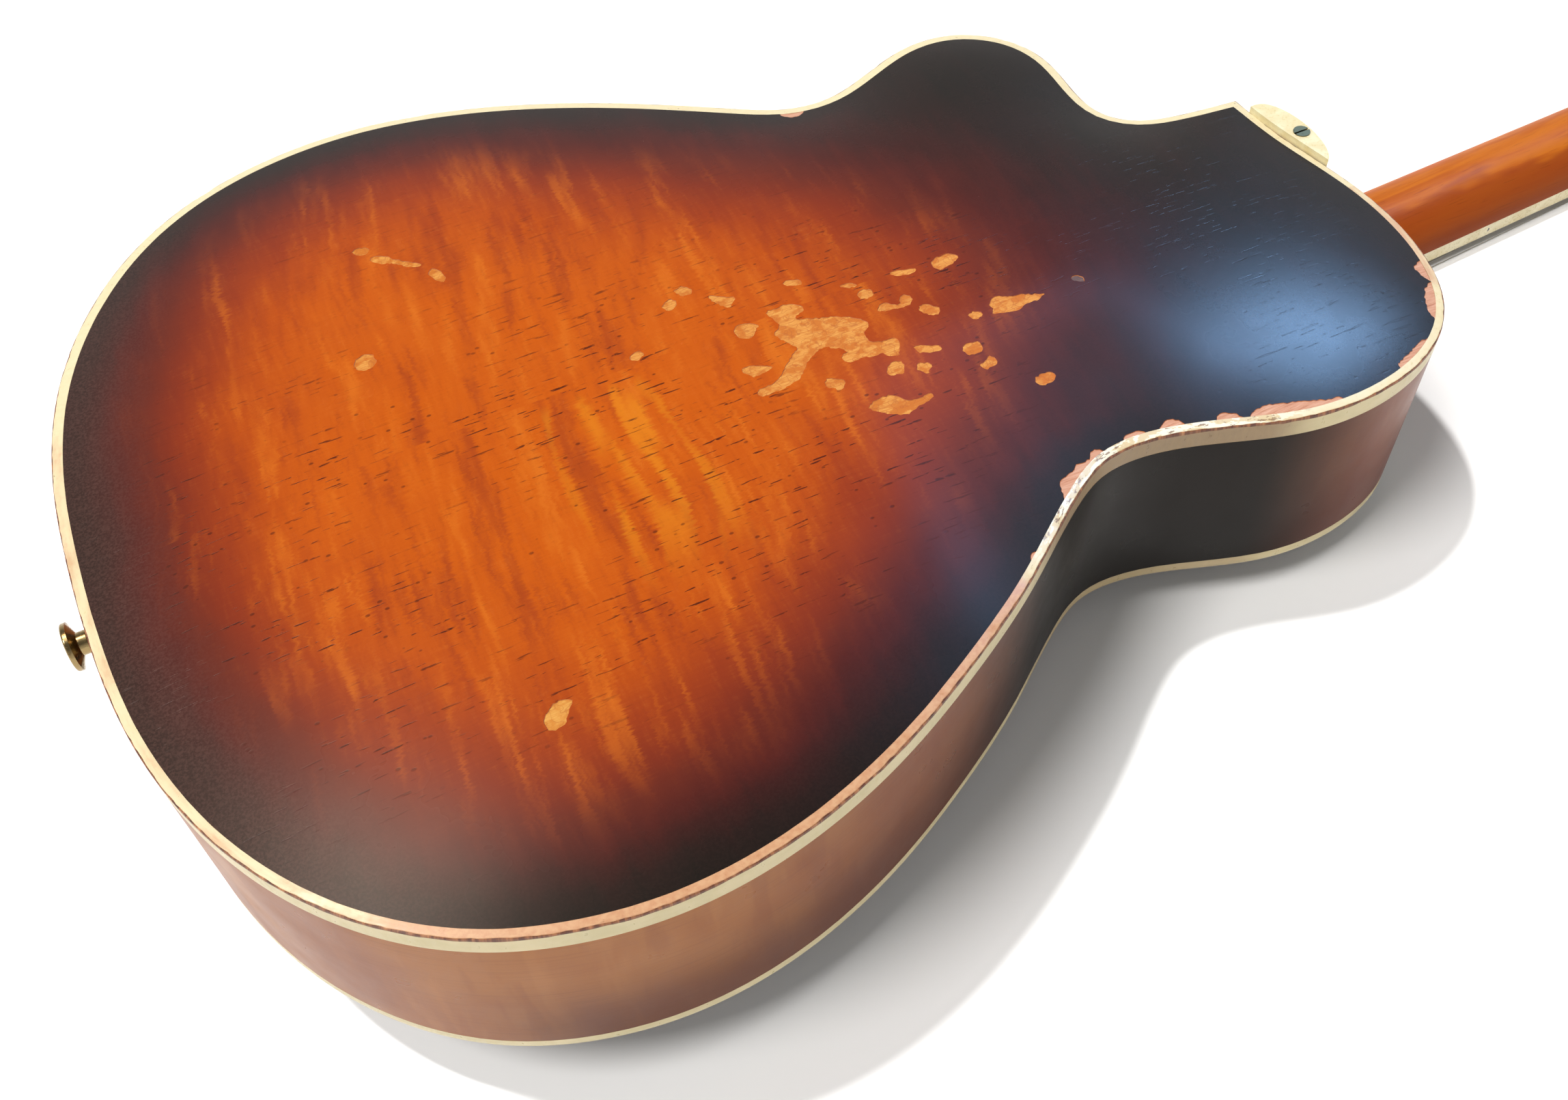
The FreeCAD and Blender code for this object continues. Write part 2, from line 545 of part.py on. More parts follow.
# ---------------------------------------------------------------- bridge
top_zone = prism(BIND_W, -12, 20).cut(below_top)
foot = poly_face([(X_BRIDGE - 8, -50, 2), (X_BRIDGE + 8, -50, 2), (X_BRIDGE + 6, -50, -14.5), (X_BRIDGE - 6, -50, -14.5)]).extrude(V(0, 100, 0))
shape_cut = poly_face([(0, -60, -9.5), (0, -44, -9.5), (0, -37, -14.6), (0, -60, -14.6)]).extrude(V(300, 0, 0))
shape_cut2 = shape_cut.mirror(V(0, 0, 0), V(0, 1, 0))
arc_cut = cyl((100, 0, 14.0), (1, 0, 0), 21.5, 100)
foot = foot.cut(top_zone).cut(shape_cut).cut(shape_cut2)
PB = 30.0
zs_top = Z_SADDLE + 0.3
saddle = poly_face([(X_BRIDGE - 4.5, -38, -18.4), (X_BRIDGE + 4.5, -38, -18.4), (X_BRIDGE + 1.4, -38, zs_top), (X_BRIDGE - 1.4, -38, zs_top)]).extrude(V(0, 76, 0))
posts_b, wheels = [], []
for s in (-1, 1):
    pb = cyl((X_BRIDGE, s * PB, -23.0), (0, 0, 1), 1.8, 13.0)
    foot = foot.cut(pb)
    saddle = saddle.cut(cyl((X_BRIDGE, s * PB, -23.4), (0, 0, 1), 1.8, 8.0))
    w = cyl((X_BRIDGE, s * PB, -18.4), (0, 0, 1), 6.0, 3.0)
    teeth = []
    for k in range(24):
        a = 2 * math.pi * k / 24
        teeth.append(cyl((X_BRIDGE + 6.25 * math.cos(a), s * PB + 6.25 * math.sin(a), -19), (0, 0, 1), 0.55, 5))
    w = w.cut(teeth).cut(cyl((X_BRIDGE, s * PB, -19), (0, 0, 1), 1.8, 6))
    posts_b.append(pb)
    wheels.append(w)
foot = foot.cut(box(0, 300, -60, 60, -15.4, -14.5))
posts_b = [p.cut(box(0, 300, -60, 60, -30, -23.0)) for p in posts_b]
foot_lift = 15.4 - 14.5
keep("bridge_foot", foot)
keep("bridge_saddle", saddle)
keep("bridge_studs", Part.makeCompound(posts_b))
keep("bridge_thumbwheels", Part.makeCompound([w.cut(box(0, 300, -60, 60, -14.5, 0)) for w in wheels]))

# ---------------------------------------------------------------- inside of the box
def brace(x0, x1, y0, y1, z0, z1, cutter):
    return box(x0, x1, y0, y1, z0, z1).cut(cutter)


inner_in = prism(RIB_T + LINING_W + 0.5, -20, DEPTH + 20)
bb = []
for x in (92.0, 214.0, 318.0):
    b = box(x - 4, x + 4, -200, 200, DEPTH - 14.0, DEPTH + 12).common(inner_in).cut(above_back_in)
    b = b.cut(box(x - 5, x + 5, -200, 200, DEPTH + 11.9, DEPTH + 30)).cut(back)
    bb.append(sorted(b.Solids, key=lambda q: -q.Volume)[0])
keep("back_braces", Part.makeCompound(bb))
tb = []
for s in (-1, 1):
    bx = poly_face([(70.0, s * 34 - 3.5, -12), (350.0, s * 24 - 3.5, -12), (350.0, s * 24 + 3.5, -12), (70.0, s * 34 + 3.5, -12)]).extrude(V(0, 0, 26))
    b = bx.common(inner_in).cut(below_top_in).cut(top)
    tb.append(sorted(b.Solids, key=lambda q: -q.Volume)[0])
keep("tone_bars", Part.makeCompound(tb))

keep("ribs", rib)
keep("back_binding", bind_back)
keep("top_binding", bind_top)
keep("back_lining", lin_back)
keep("top_lining", lin_top)
keep("neck_block", neck_block)
keep("tail_block", tail_block)

# ---------------------------------------------------------------- head: veneer, cover, tuners
veneer = head_face(-VENEER_T).extrude(HH * VENEER_T)
ven_cut = poly_face([hp(-20, -40, -10), hp(0.2, -40, -10), hp(0.2, -40, 5), hp(-20, -40, 5)]).extrude(V(0, 80, 0))
veneer = veneer.cut(ven_cut)
bores, bushings, gears = [], [], []
PLATE_H = 1.4      # tuner base plate
for side in (-1, 1):
    for s in POST_S:
        base = hp(s, side * POST_Y, -VENEER_T - 1)
        bores.append(Part.makeCylinder(POST_R + 0.5, HEAD_T + VENEER_T + 2, base, HH))
        b0 = hp(s, side * POST_Y, -VENEER_T - 1.2)
        flange = Part.makeCylinder(5.2, 1.2, b0, HH)
        sleeve = Part.makeCylinder(4.4, 6.0, hp(s, side * POST_Y, -VENEER_T), HH)
        bores.append(Part.makeCylinder(4.4, 6.0, hp(s, side * POST_Y, -VENEER_T), HH))
        bushings.append(flange.fuse(sleeve).cut(Part.makeCylinder(POST_R + FIT, 20, hp(s, side * POST_Y, -VENEER_T - 5), HH)))
neck = neck.cut(bores)
veneer = veneer.cut(bores)
keep("tuner_bushings", Part.makeCompound(bushings))

cover = poly_face([hp(2.0, -6.5, -VENEER_T), hp(2.0, 6.5, -VENEER_T), hp(20.0, 5.0, -VENEER_T), hp(26.0, 0.0, -VENEER_T), hp(20.0, -5.0, -VENEER_T)]).extrude(HH * -1.6)
csc = []
for s, y in ((5.5, 0.0), (19.0, 0.0)):
    a = Part.makeCylinder(1.0, 8.0, hp(s, y, -VENEER_T - 1.6), HH)
    hd = Part.makeSphere(1.9, hp(s, y, -VENEER_T - 0.9)).common(
        poly_face([hp(s - 3, y - 3, -VENEER_T - 1.6), hp(s + 3, y - 3, -VENEER_T - 1.6), hp(s + 3, y + 3, -VENEER_T - 1.6), hp(s - 3, y + 3, -VENEER_T - 1.6)]).extrude(HH * -4))
    cover = cover.cut(a)
    veneer = veneer.cut(a)
    neck = neck.cut(a)
    csc.append(a.fuse(hd))
keep("truss_rod_cover", cover)
keep("truss_cover_screws", Part.makeCompound(csc))
keep("head_veneer", veneer)

G0, G1 = 1.7, 4.7                      # gear span behind the base plate
WORM_D = GEAR_R + WORM_R + 0.35        # worm axis to post axis
WH = HEAD_T + PLATE_H + (G0 + G1) / 2  # worm axis height


def local_poly(pts, h):
    return poly_face([hp(s, y, h) for s, y in pts])


screw_at = []
for side, nm in ((-1, "bass"), (1, "treble")):
    y0, y1 = side * (POST_Y - 6.5), side * (POST_Y + 7.5)
    s0, s1 = POST_S[0] - 12.0, POST_S[3] + 19.0
    plate = local_poly([(s0, y0), (s1, y0), (s1, y1), (s0, y1)], HEAD_T).extrude(HH * PLATE_H)
    ears = []
    for s in POST_S:
        sw = s + WORM_D
        for ya, yb_ in ((POST_Y - 6.3, POST_Y - 4.3), (POST_Y + 4.3, POST_Y + 6.3)):
            e = local_poly([(sw - 3.2, side * ya), (sw + 3.2, side * ya), (sw + 3.2, side * yb_), (sw - 3.2, side * yb_)],
                           HEAD_T + PLATE_H).extrude(HH * 5.4)
            ears.append(e)
    plate = plate.fuse(ears)
    for s in POST_S:
        plate = plate.cut(Part.makeCylinder(POST_R + FIT, 20, hp(s, side * POST_Y, HEAD_T - 5), HH))
        plate = plate.cut(Part.makeCylinder(SHAFT_R + FIT, 60, hp(s + WORM_D, 0, WH), V(0, side, 0)))
    for s in (POST_S[0] - 8.5, POST_S[1] - 9.8 + 0.0, POST_S[2] - 9.8, POST_S[3] - 9.8, POST_S[3] + 15.5):
        screw_at.append((s, side * (POST_Y + 0.5)))
        plate = plate.cut(Part.makeCylinder(1.2, 12, hp(s, side * (POST_Y + 0.5), HEAD_T - 6), HH))
    keep("tuner_plate_" + nm, plate)
ps = []
for s, y in screw_at:
    a = Part.makeCylinder(1.2, 8.0 + PLATE_H, hp(s, y, HEAD_T - 8.0), HH)
    hd = Part.makeSphere(2.2, hp(s, y, HEAD_T + PLATE_H - 0.9)).common(
        local_poly([(s - 3, y - 3), (s + 3, y - 3), (s + 3, y + 3), (s - 3, y + 3)], HEAD_T + PLATE_H).extrude(HH * 4))
    neck = neck.cut(a)
    ps.append(a.fuse(hd))
keep("tuner_plate_screws", Part.makeCompound(ps))
keep("neck", neck)


def gear_wheel(s, y):
    pts = []
    n = GEAR_TEETH
    for k in range(n):
        a0 = 2 * math.pi * k / n
        for fr, rr in ((-0.30, GEAR_R - 1.0), (-0.16, GEAR_R), (0.16, GEAR_R), (0.30, GEAR_R - 1.0)):
            a = a0 + fr * 2 * math.pi / n
            pts.append((s + rr * math.cos(a), y + rr * math.sin(a)))
    return local_poly(pts, HEAD_T + PLATE_H + G0).extrude(HH * (G1 - G0))


tuner_axes = []
k = 0
for side in (-1, 1):
    order = POST_S if side == -1 else POST_S
    for s in order:
        k += 1
        y = side * POST_Y
        post = Part.makeCylinder(POST_R, HEAD_T + PLATE_H + G1 + VENEER_T + 12.0, hp(s, y, -VENEER_T - 12.0), HH)
        collar = Part.makeCylinder(4.2, G0 - 0.1, hp(s, y, HEAD_T + PLATE_H + 0.1), HH)
        gear = gear_wheel(s, y).cut(Part.makeCylinder(POST_R, 30, hp(s, y, HEAD_T), HH))
        coil = Part.makeCylinder(COIL_R, 3.2, hp(s, y, COIL_H - 1.6), HH).cut(Part.makeCylinder(POST_R, 10, hp(s, y, COIL_H - 5), HH))
        screw = Part.makeCylinder(2.4, 1.3, hp(s, y, HEAD_T + PLATE_H + G1), HH)
        post = post.fuse([collar, screw]).cut(Part.makeCylinder(0.7, 20, hp(s - 10, y, -VENEER_T - 9.6), HS))
        post = post.cut(local_poly([(s - 3, y - 0.35), (s + 3, y - 0.35), (s + 3, y + 0.35), (s - 3, y + 0.35)],
                                   HEAD_T + PLATE_H + G1 + 0.7).extrude(HH * 2))
        keep("tuner_post_%d" % k, Part.makeCompound([post, gear, coil]))
        sw = s + WORM_D
        d = V(0, side, 0)
        worm = Part.makeCylinder(WORM_R, 8.4, hp(sw, side * (POST_Y - 4.2), WH), d)
        shaft_w = Part.makeCylinder(SHAFT_R, 29.0, hp(sw, side * (POST_Y - 6.3), WH), d)
        c0 = POST_Y + 22.0
        knob_pts = [(0.0, 3.0), (1.6, 3.4), (3.2, 5.2), (7.0, 7.8), (11.0, 8.3), (14.5, 6.6), (16.2, 3.0)]
        prof = [hp(sw, side * (c0 - 3.5 + u), WH) for u, w_ in knob_pts]
        up = [hp(sw, side * (c0 - 3.5 + u), WH) + HS * w_ for u, w_ in knob_pts]
        c = Part.BSplineCurve()
        c.interpolate(Points=up)
        base0, base1 = prof[0], prof[-1]
        f = Part.Face(Part.Wire([c.toShape(), Part.makeLine(up[-1], base1), Part.makeLine(base1, base0), Part.makeLine(base0, up[0])]))
        kb = f.revolve(hp(sw, 0, WH), V(0, 1, 0), 360)
        slab = local_poly([(sw - 12, side * (c0 - 10)), (sw + 12, side * (c0 - 10)), (sw + 12, side * (c0 + 20)), (sw - 12, side * (c0 + 20))],
                          WH - 3.4).extrude(HH * 6.8)
        kb = kb.common(slab)
        kb = kb.cut(Part.makeCylinder(SHAFT_R, 29.0, hp(sw, side * (POST_Y - 6.3), WH), d))
        keep("tuner_button_%d" % k, Part.makeCompound([kb, shaft_w.fuse(worm)]))
        tuner_axes.append((k, side, tuple(hp(s, y, WH)), tuple(hp(sw, side * POST_Y, WH))))

# ---------------------------------------------------------------- rest pose, footprint origin, export
PLACE = FreeCAD.Placement(V(*SHIFT), FreeCAD.Rotation(V(0, 1, 0), REST_TILT))
MAT = PLACE.toMatrix()
lo, hi = [1e9] * 3, [-1e9] * 3
bad = []
for name, shape in PARTS.items():
    sh = shape.copy()
    sols = sh.Solids
    sh = sols[0] if len(sols) == 1 else Part.makeCompound(sols)
    sh.transformShape(MAT)
    PARTS[name] = sh
    if not sols or any(s.Volume <= 0 for s in sols) or not sh.isValid():
        bad.append(name)
    bb_ = sh.optimalBoundingBox(False, False)
    for i, (a, b) in enumerate(((bb_.XMin, bb_.XMax), (bb_.YMin, bb_.YMax), (bb_.ZMin, bb_.ZMax))):
        lo[i], hi[i] = min(lo[i], a), max(hi[i], b)
    sh.exportStep("parts/%s.step" % name)
for a in tuner_axes:
    print("tuner", a[0], a[1], [[round(v, 4) for v in PLACE.multVec(V(*q))] for q in a[2:]])
for n_, v_ in (("HH", HH), ("Y", V(0, 1, 0)), ("X", V(1, 0, 0))):
    w_ = PLACE.Rotation.multVec(v_)
    print("dir", n_, [round(q, 6) for q in (w_.x, w_.y, w_.z)])
for n_, v_ in (("button", V(-5.5, 0, BUTTON_Z)), ("tail", V(0, 0, 0))):
    print("point", n_, [round(q, 4) for q in PLACE.multVec(v_)])
print("nodes", len(PARTS), "bad", bad)
print("box", [round(v, 3) for v in lo], [round(v, 3) for v in hi])
print("wanted shift change", [round(-(lo[0] + hi[0]) / 2, 3), round(-(lo[1] + hi[1]) / 2, 3), round(-lo[2], 3)])
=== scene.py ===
import math

import bpy
import numpy as np
from mathutils import Matrix, Vector, geometry


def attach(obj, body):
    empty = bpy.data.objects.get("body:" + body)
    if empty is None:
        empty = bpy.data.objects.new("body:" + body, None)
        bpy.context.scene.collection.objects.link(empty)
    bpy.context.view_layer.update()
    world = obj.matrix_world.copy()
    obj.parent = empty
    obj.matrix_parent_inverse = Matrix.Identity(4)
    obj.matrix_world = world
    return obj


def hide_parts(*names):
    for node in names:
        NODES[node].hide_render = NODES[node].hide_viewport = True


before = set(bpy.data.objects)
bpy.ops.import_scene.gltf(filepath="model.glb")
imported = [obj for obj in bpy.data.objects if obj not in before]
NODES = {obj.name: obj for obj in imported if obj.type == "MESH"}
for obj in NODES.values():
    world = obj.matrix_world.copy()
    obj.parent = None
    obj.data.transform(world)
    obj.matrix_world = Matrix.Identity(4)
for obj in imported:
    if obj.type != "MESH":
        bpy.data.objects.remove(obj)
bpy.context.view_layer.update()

# ------------------------------------------------------------------ body coordinates (mm)
# x along the centreline from the tail, y towards the cutaway, z out of the back.
TILT = math.radians(3.338)
CT, ST = math.cos(TILT), math.sin(TILT)
SHIFT = (-477.92, 0.0, 35.435)


def W(p):
    """Body millimetres to the row frame in metres."""
    x, y, z = p
    return Vector(((x * CT + z * ST + SHIFT[0]) / 1000.0, (y + SHIFT[1]) / 1000.0, (-x * ST + z * CT + SHIFT[2]) / 1000.0))


def Wd(d):
    x, y, z = d
    return Vector((x * CT + z * ST, y, -x * ST + z * CT))


def Wn(a):
    """The same for an (n, 3) array."""
    a = np.asarray(a, float)
    return np.column_stack([a[:, 0] * CT + a[:, 2] * ST + SHIFT[0], a[:, 1] + SHIFT[1],
                            -a[:, 0] * ST + a[:, 2] * CT + SHIFT[2]]) / 1000.0


# ------------------------------------------------------------------ camera
FOCAL_PX = 2275.559
YAW, PITCH, ROLL = math.radians(23.8323931), math.radians(52.10324482), math.radians(-3.03117634)
cam_data = bpy.data.cameras.new("camera")
cam_data.sensor_fit = "HORIZONTAL"
cam_data.sensor_width = 36.0
cam_data.lens = 36.0 * FOCAL_PX / 2296.0
cam_data.clip_start, cam_data.clip_end = 0.01, 200.0
cam = bpy.data.objects.new("camera", cam_data)
bpy.context.scene.collection.objects.link(cam)
bpy.context.scene.camera = cam
fwd = Vector((math.sin(YAW) * math.cos(PITCH), math.cos(YAW) * math.cos(PITCH), -math.sin(PITCH)))
rgt = Vector((math.cos(YAW), -math.sin(YAW), 0.0))
upv = rgt.cross(fwd)
right = rgt * math.cos(ROLL) + upv * math.sin(ROLL)
up = -rgt * math.sin(ROLL) + upv * math.cos(ROLL)
R3 = Matrix((Wd(right), Wd(up), -Wd(fwd))).transposed()
cam.matrix_world = Matrix.Translation(W((75.36359, -326.84619, 415.58350))) @ R3.to_4x4()

scene = bpy.context.scene
scene.view_settings.view_transform = "Standard"

# ------------------------------------------------------------------ stage: floor, world, lights
def lin(c):
    c = c / 255.0
    return c / 12.92 if c <= 0.04045 else ((c + 0.055) / 1.055) ** 2.4


def rgb(r, g, b, k=0.80):
    """A colour as it looks under the stage light, which is a little over full white."""
    return (lin(r) * k, lin(g) * k, lin(b) * k, 1.0)


def mesh_object(name, verts, faces, mats, face_mat=None, smooth=True):
    me = bpy.data.meshes.new(name)
    me.from_pydata([tuple(v) for v in verts], [], [tuple(int(i) for i in f) for f in faces])
    for m in mats:
        me.materials.append(m)
    if face_mat is not None:
        me.polygons.foreach_set("material_index", np.asarray(face_mat, np.int32))
    me.polygons.foreach_set("use_smooth", np.full(len(me.polygons), bool(smooth)))
    me.update()
    o = bpy.data.objects.new(name, me)
    scene.collection.objects.link(o)
    return o


# ------------------------------------------------------------------ material helper
class Mat:
    """A small wrapper for writing node materials."""

    def __init__(self, name, rough=0.4, metallic=0.0, coat=0.0, coat_rough=0.08, ior=1.5, sheen=0.0, spec=0.5):
        self.m = bpy.data.materials.new(name)
        self.m.use_nodes = True
        self.t = self.m.node_tree
        self.t.nodes.clear()
        self.out = self.t.nodes.new("ShaderNodeOutputMaterial")
        self.b = self.t.nodes.new("ShaderNodeBsdfPrincipled")
        self.t.links.new(self.b.outputs["BSDF"], self.out.inputs["Surface"])
        b = self.b.inputs
        b["Roughness"].default_value = rough
        b["Metallic"].default_value = metallic
        b["IOR"].default_value = ior
        b["Coat Weight"].default_value = coat
        b["Coat Roughness"].default_value = coat_rough
        b["Sheen Weight"].default_value = sheen
        b["Specular IOR Level"].default_value = spec
        self._p = None

    def put(self, sock, v):
        if isinstance(v, bpy.types.NodeSocket):
            self.t.links.new(v, sock)
        elif isinstance(v, (tuple, list)) and len(v) == 4 and sock.type == "VECTOR":
            sock.default_value = v[:3]
        else:
            sock.default_value = v

    def node(self, kind, ins=(), **kw):
        n = self.t.nodes.new("ShaderNode" + kind)
        for k, v in kw.items():
            setattr(n, k, v)
        for i, v in (ins.items() if isinstance(ins, dict) else enumerate(ins)):
            if v is not None:
                self.put(n.inputs[i], v)
        return n

    def math(self, op, a, b=None, clamp=False, c=None):
        n = self.node("Math", (), operation=op, use_clamp=clamp)
        self.put(n.inputs[0], a)
        if b is not None:
            self.put(n.inputs[1], b)
        if c is not None:
            self.put(n.inputs[2], c)
        return n.outputs[0]

    def add(self, a, b):
        return self.math("ADD", a, b)

    def mul(self, a, b):
        return self.math("MULTIPLY", a, b)

    def pos(self):
        """Object position in body millimetres."""
        if self._p is None:
            tc = self.node("TexCoord")
            mp = self.node("Mapping", vector_type="POINT")
            self.t.links.new(tc.outputs["Object"], mp.inputs["Vector"])
            mp.inputs["Scale"].default_value = (1000.0, 1000.0, 1000.0)
            mp.inputs["Rotation"].default_value = (0.0, -TILT, 0.0)
            sx, sy, sz = SHIFT
            mp.inputs["Location"].default_value = (-(sx * CT - sz * ST), -sy, -(sx * ST + sz * CT))
            self._p = mp.outputs[0]
        return self._p

    def xyz(self, v=None):
        n = self.node("SeparateXYZ")
        self.put(n.inputs[0], v if v is not None else self.pos())
        return n.outputs[0], n.outputs[1], n.outputs[2]

    def vec(self, x, y, z):
        n = self.node("CombineXYZ")
        self.put(n.inputs[0], x)
        self.put(n.inputs[1], y)
        self.put(n.inputs[2], z)
        return n.outputs[0]

    def scaled(self, sx, sy, sz, v=None, rot=(0, 0, 0), loc=(0, 0, 0)):
        mp = self.node("Mapping", vector_type="POINT")
        self.put(mp.inputs["Vector"], v if v is not None else self.pos())
        mp.inputs["Scale"].default_value = (sx, sy, sz)
        mp.inputs["Rotation"].default_value = rot
        mp.inputs["Location"].default_value = loc
        return mp.outputs[0]

    def noise(self, v, scale=1.0, detail=3.0, rough=0.5, dist=0.0):
        n = self.node("TexNoise", noise_dimensions="3D")
        self.put(n.inputs["Vector"], v)
        n.inputs["Scale"].default_value = scale
        n.inputs["Detail"].default_value = detail
        n.inputs["Roughness"].default_value = rough
        n.inputs["Distortion"].default_value = dist
        return n.outputs["Fac"]

    def voronoi(self, v, scale=1.0, feature="F1", rand=1.0, out="Distance"):
        n = self.node("TexVoronoi", feature=feature)
        self.put(n.inputs["Vector"], v)
        n.inputs["Scale"].default_value = scale
        n.inputs["Randomness"].default_value = rand
        return n.outputs[out]

    def step(self, v, lo, hi, a=0.0, b=1.0):
        n = self.node("MapRange", interpolation_type="SMOOTHSTEP")
        self.put(n.inputs[0], v)
        self.put(n.inputs[1], lo)
        self.put(n.inputs[2], hi)
        self.put(n.inputs[3], a)
        self.put(n.inputs[4], b)
        return n.outputs[0]

    def line(self, v, lo, hi, a=0.0, b=1.0):
        n = self.node("MapRange", interpolation_type="LINEAR", clamp=True)
        self.put(n.inputs[0], v)
        self.put(n.inputs[1], lo)
        self.put(n.inputs[2], hi)
        self.put(n.inputs[3], a)
        self.put(n.inputs[4], b)
        return n.outputs[0]

    def mix(self, fac, a, b, mode="MIX"):
        n = self.node("Mix", data_type="RGBA", blend_type=mode, clamp_factor=True)
        self.put(n.inputs["Factor"], fac)
        self.put(n.inputs[6], a)
        self.put(n.inputs[7], b)
        return n.outputs[2]

    def ramp(self, v, stops, interp="LINEAR"):
        n = self.node("ValToRGB")
        r = n.color_ramp
        r.interpolation = interp
        while len(r.elements) < len(stops):
            r.elements.new(0.5)
        for e, (p, c) in zip(r.elements, stops):
            e.position = p
            e.color = c
        self.put(n.inputs[0], v)
        return n.outputs[0]

    def attr(self, name):
        n = self.node("Attribute", attribute_type="GEOMETRY", attribute_name=name)
        return n.outputs["Fac"]

    def color(self, c):
        self.put(self.b.inputs["Base Color"], c)

    def rough(self, c):
        self.put(self.b.inputs["Roughness"], c)

    def bump(self, h, dist_mm, strength=1.0, coat=False):
        n = self.node("Bump")
        n.inputs["Strength"].default_value = strength
        n.inputs["Distance"].default_value = dist_mm / 1000.0
        self.put(n.inputs["Height"], h)
        self.put(self.b.inputs["Normal"], n.outputs[0])
        if coat:
            self.put(self.b.inputs["Coat Normal"], n.outputs[0])
        return n


# floor
fm = Mat("stage_floor", rough=0.8, spec=0.0)
fm.color(fm.mix(fm.noise(fm.scaled(0.004, 0.004, 0.004), 1.0, 2.0), rgb(243, 243, 244, 1.0), rgb(248, 248, 248, 1.0)))
floor = mesh_object("floor", [(-60, -60, 0), (60, -60, 0), (60, 60, 0), (-60, 60, 0)], [(0, 1, 2, 3)], [fm.m], smooth=False)

world = bpy.data.worlds.new("studio")
scene.world = world
world.use_nodes = True
# pale walls all round and a dimmer ceiling
wt = world.node_tree
bg = wt.nodes["Background"]
bg.inputs[0].default_value = (1.0, 0.99, 0.975, 1.0)
w_tc = wt.nodes.new("ShaderNodeTexCoord")
w_sep = wt.nodes.new("ShaderNodeSeparateXYZ")
w_map = wt.nodes.new("ShaderNodeMapRange")
w_map.interpolation_type = "SMOOTHSTEP"
w_map.inputs[1].default_value, w_map.inputs[2].default_value = 0.20, 0.72
w_map.inputs[3].default_value, w_map.inputs[4].default_value = 0.90, 0.19
wt.links.new(w_tc.outputs["Generated"], w_sep.inputs[0])
wt.links.new(w_sep.outputs[2], w_map.inputs[0])
wt.links.new(w_map.outputs[0], bg.inputs[1])


def area_light(name, direction, dist, size, power, colour, size_y=None, target=(210, 0, 40)):
    """A soft light in the body direction given, aimed at the target point."""
    d = Vector(direction).normalized()
    t = Vector(target)
    ld = bpy.data.lights.new(name, "AREA")
    ld.shape = "RECTANGLE" if size_y else "DISK"
    ld.size = size
    if size_y:
        ld.size_y = size_y
    ld.energy = power
    ld.color = colour
    o = bpy.data.objects.new(name, ld)
    scene.collection.objects.link(o)
    o.location = W(t + d * dist * 1000.0)
    o.rotation_mode = "QUATERNION"
    o.rotation_quaternion = Wd(d).to_track_quat("Z", "Y")
    return o


def broad_light(name, direction, strength, angle_deg, colour):
    """A light from far off, even over the whole floor."""
    ld = bpy.data.lights.new(name, "SUN")
    ld.energy = strength
    ld.angle = math.radians(angle_deg)
    ld.color = colour
    o = bpy.data.objects.new(name, ld)
    scene.collection.objects.link(o)
    o.rotation_mode = "QUATERNION"
    o.rotation_quaternion = Wd(Vector(direction).normalized()).to_track_quat("Z", "Y")
    o.visible_glossy = False
    return o


broad_light("key", (-0.30, 0.30, 1.0), 2.30, 2.4, (1.0, 0.985, 0.965))
broad_light("fill", (-0.58, 0.0, 1.0), 1.95, 20.0, (1.0, 0.98, 0.95))
# the rest are seen in the gloss only; the light that they would add is in the two above
second = area_light("second", (-0.58, 0.0, 1.0), 1.9, 0.60, 22.0, (1.0, 0.98, 0.95))
second.visible_diffuse = False
sheen = area_light("sheen", (-0.30, 0.30, 1.0), 1.7, 0.45, 8.5, (1.0, 0.80, 0.62))
sheen.visible_diffuse = False
window = area_light("window", (0.5707, 0.3614, 0.7377), 1.796, 0.34, 21.4, (0.32, 0.58, 1.0), size_y=0.32, target=(362, -85, 70))
window.visible_diffuse = False

# ------------------------------------------------------------------ plan outline
OUTLINE = [
    (417.6, 27.0), (394.4, 30.0), (379.1, 35.3), (372.1, 43.4), (370.2, 57.7), (371.2, 81.4),
    (367.0, 95.0), (357.5, 105.9), (344.4, 112.0), (330.1, 112.1), (307.2, 104.0), (288.6, 98.4),
    (275.0, 100.0), (257.2, 109.8), (225.7, 130.5), (197.8, 145.7), (171.4, 156.5), (146.2, 163.0),
    (122.1, 165.1), (98.8, 162.8), (76.9, 156.4), (57.6, 146.1), (40.7, 131.8), (26.2, 113.4),
    (14.6, 91.9), (6.6, 68.1), (1.9, 41.1), (0.2, 9.2), (0.9, -26.9), (4.1, -56.0),
    (10.5, -81.1), (20.3, -103.7), (33.5, -123.6), (49.4, -139.9), (67.4, -152.0), (88.3, -160.3),
    (111.1, -164.6), (134.8, -164.5), (159.3, -160.1), (185.2, -151.3), (213.0, -137.8), (242.0, -120.5),
    (268.4, -101.8), (282.9, -94.7), (298.4, -94.2), (320.0, -100.1), (345.8, -108.5), (366.0, -110.2),
    (385.5, -107.0), (401.5, -99.5), (412.9, -88.3), (420.7, -72.2), (424.6, -51.8), (424.2, -28.8),
    (419.0, 3.7), (417.6, 27.0),
]


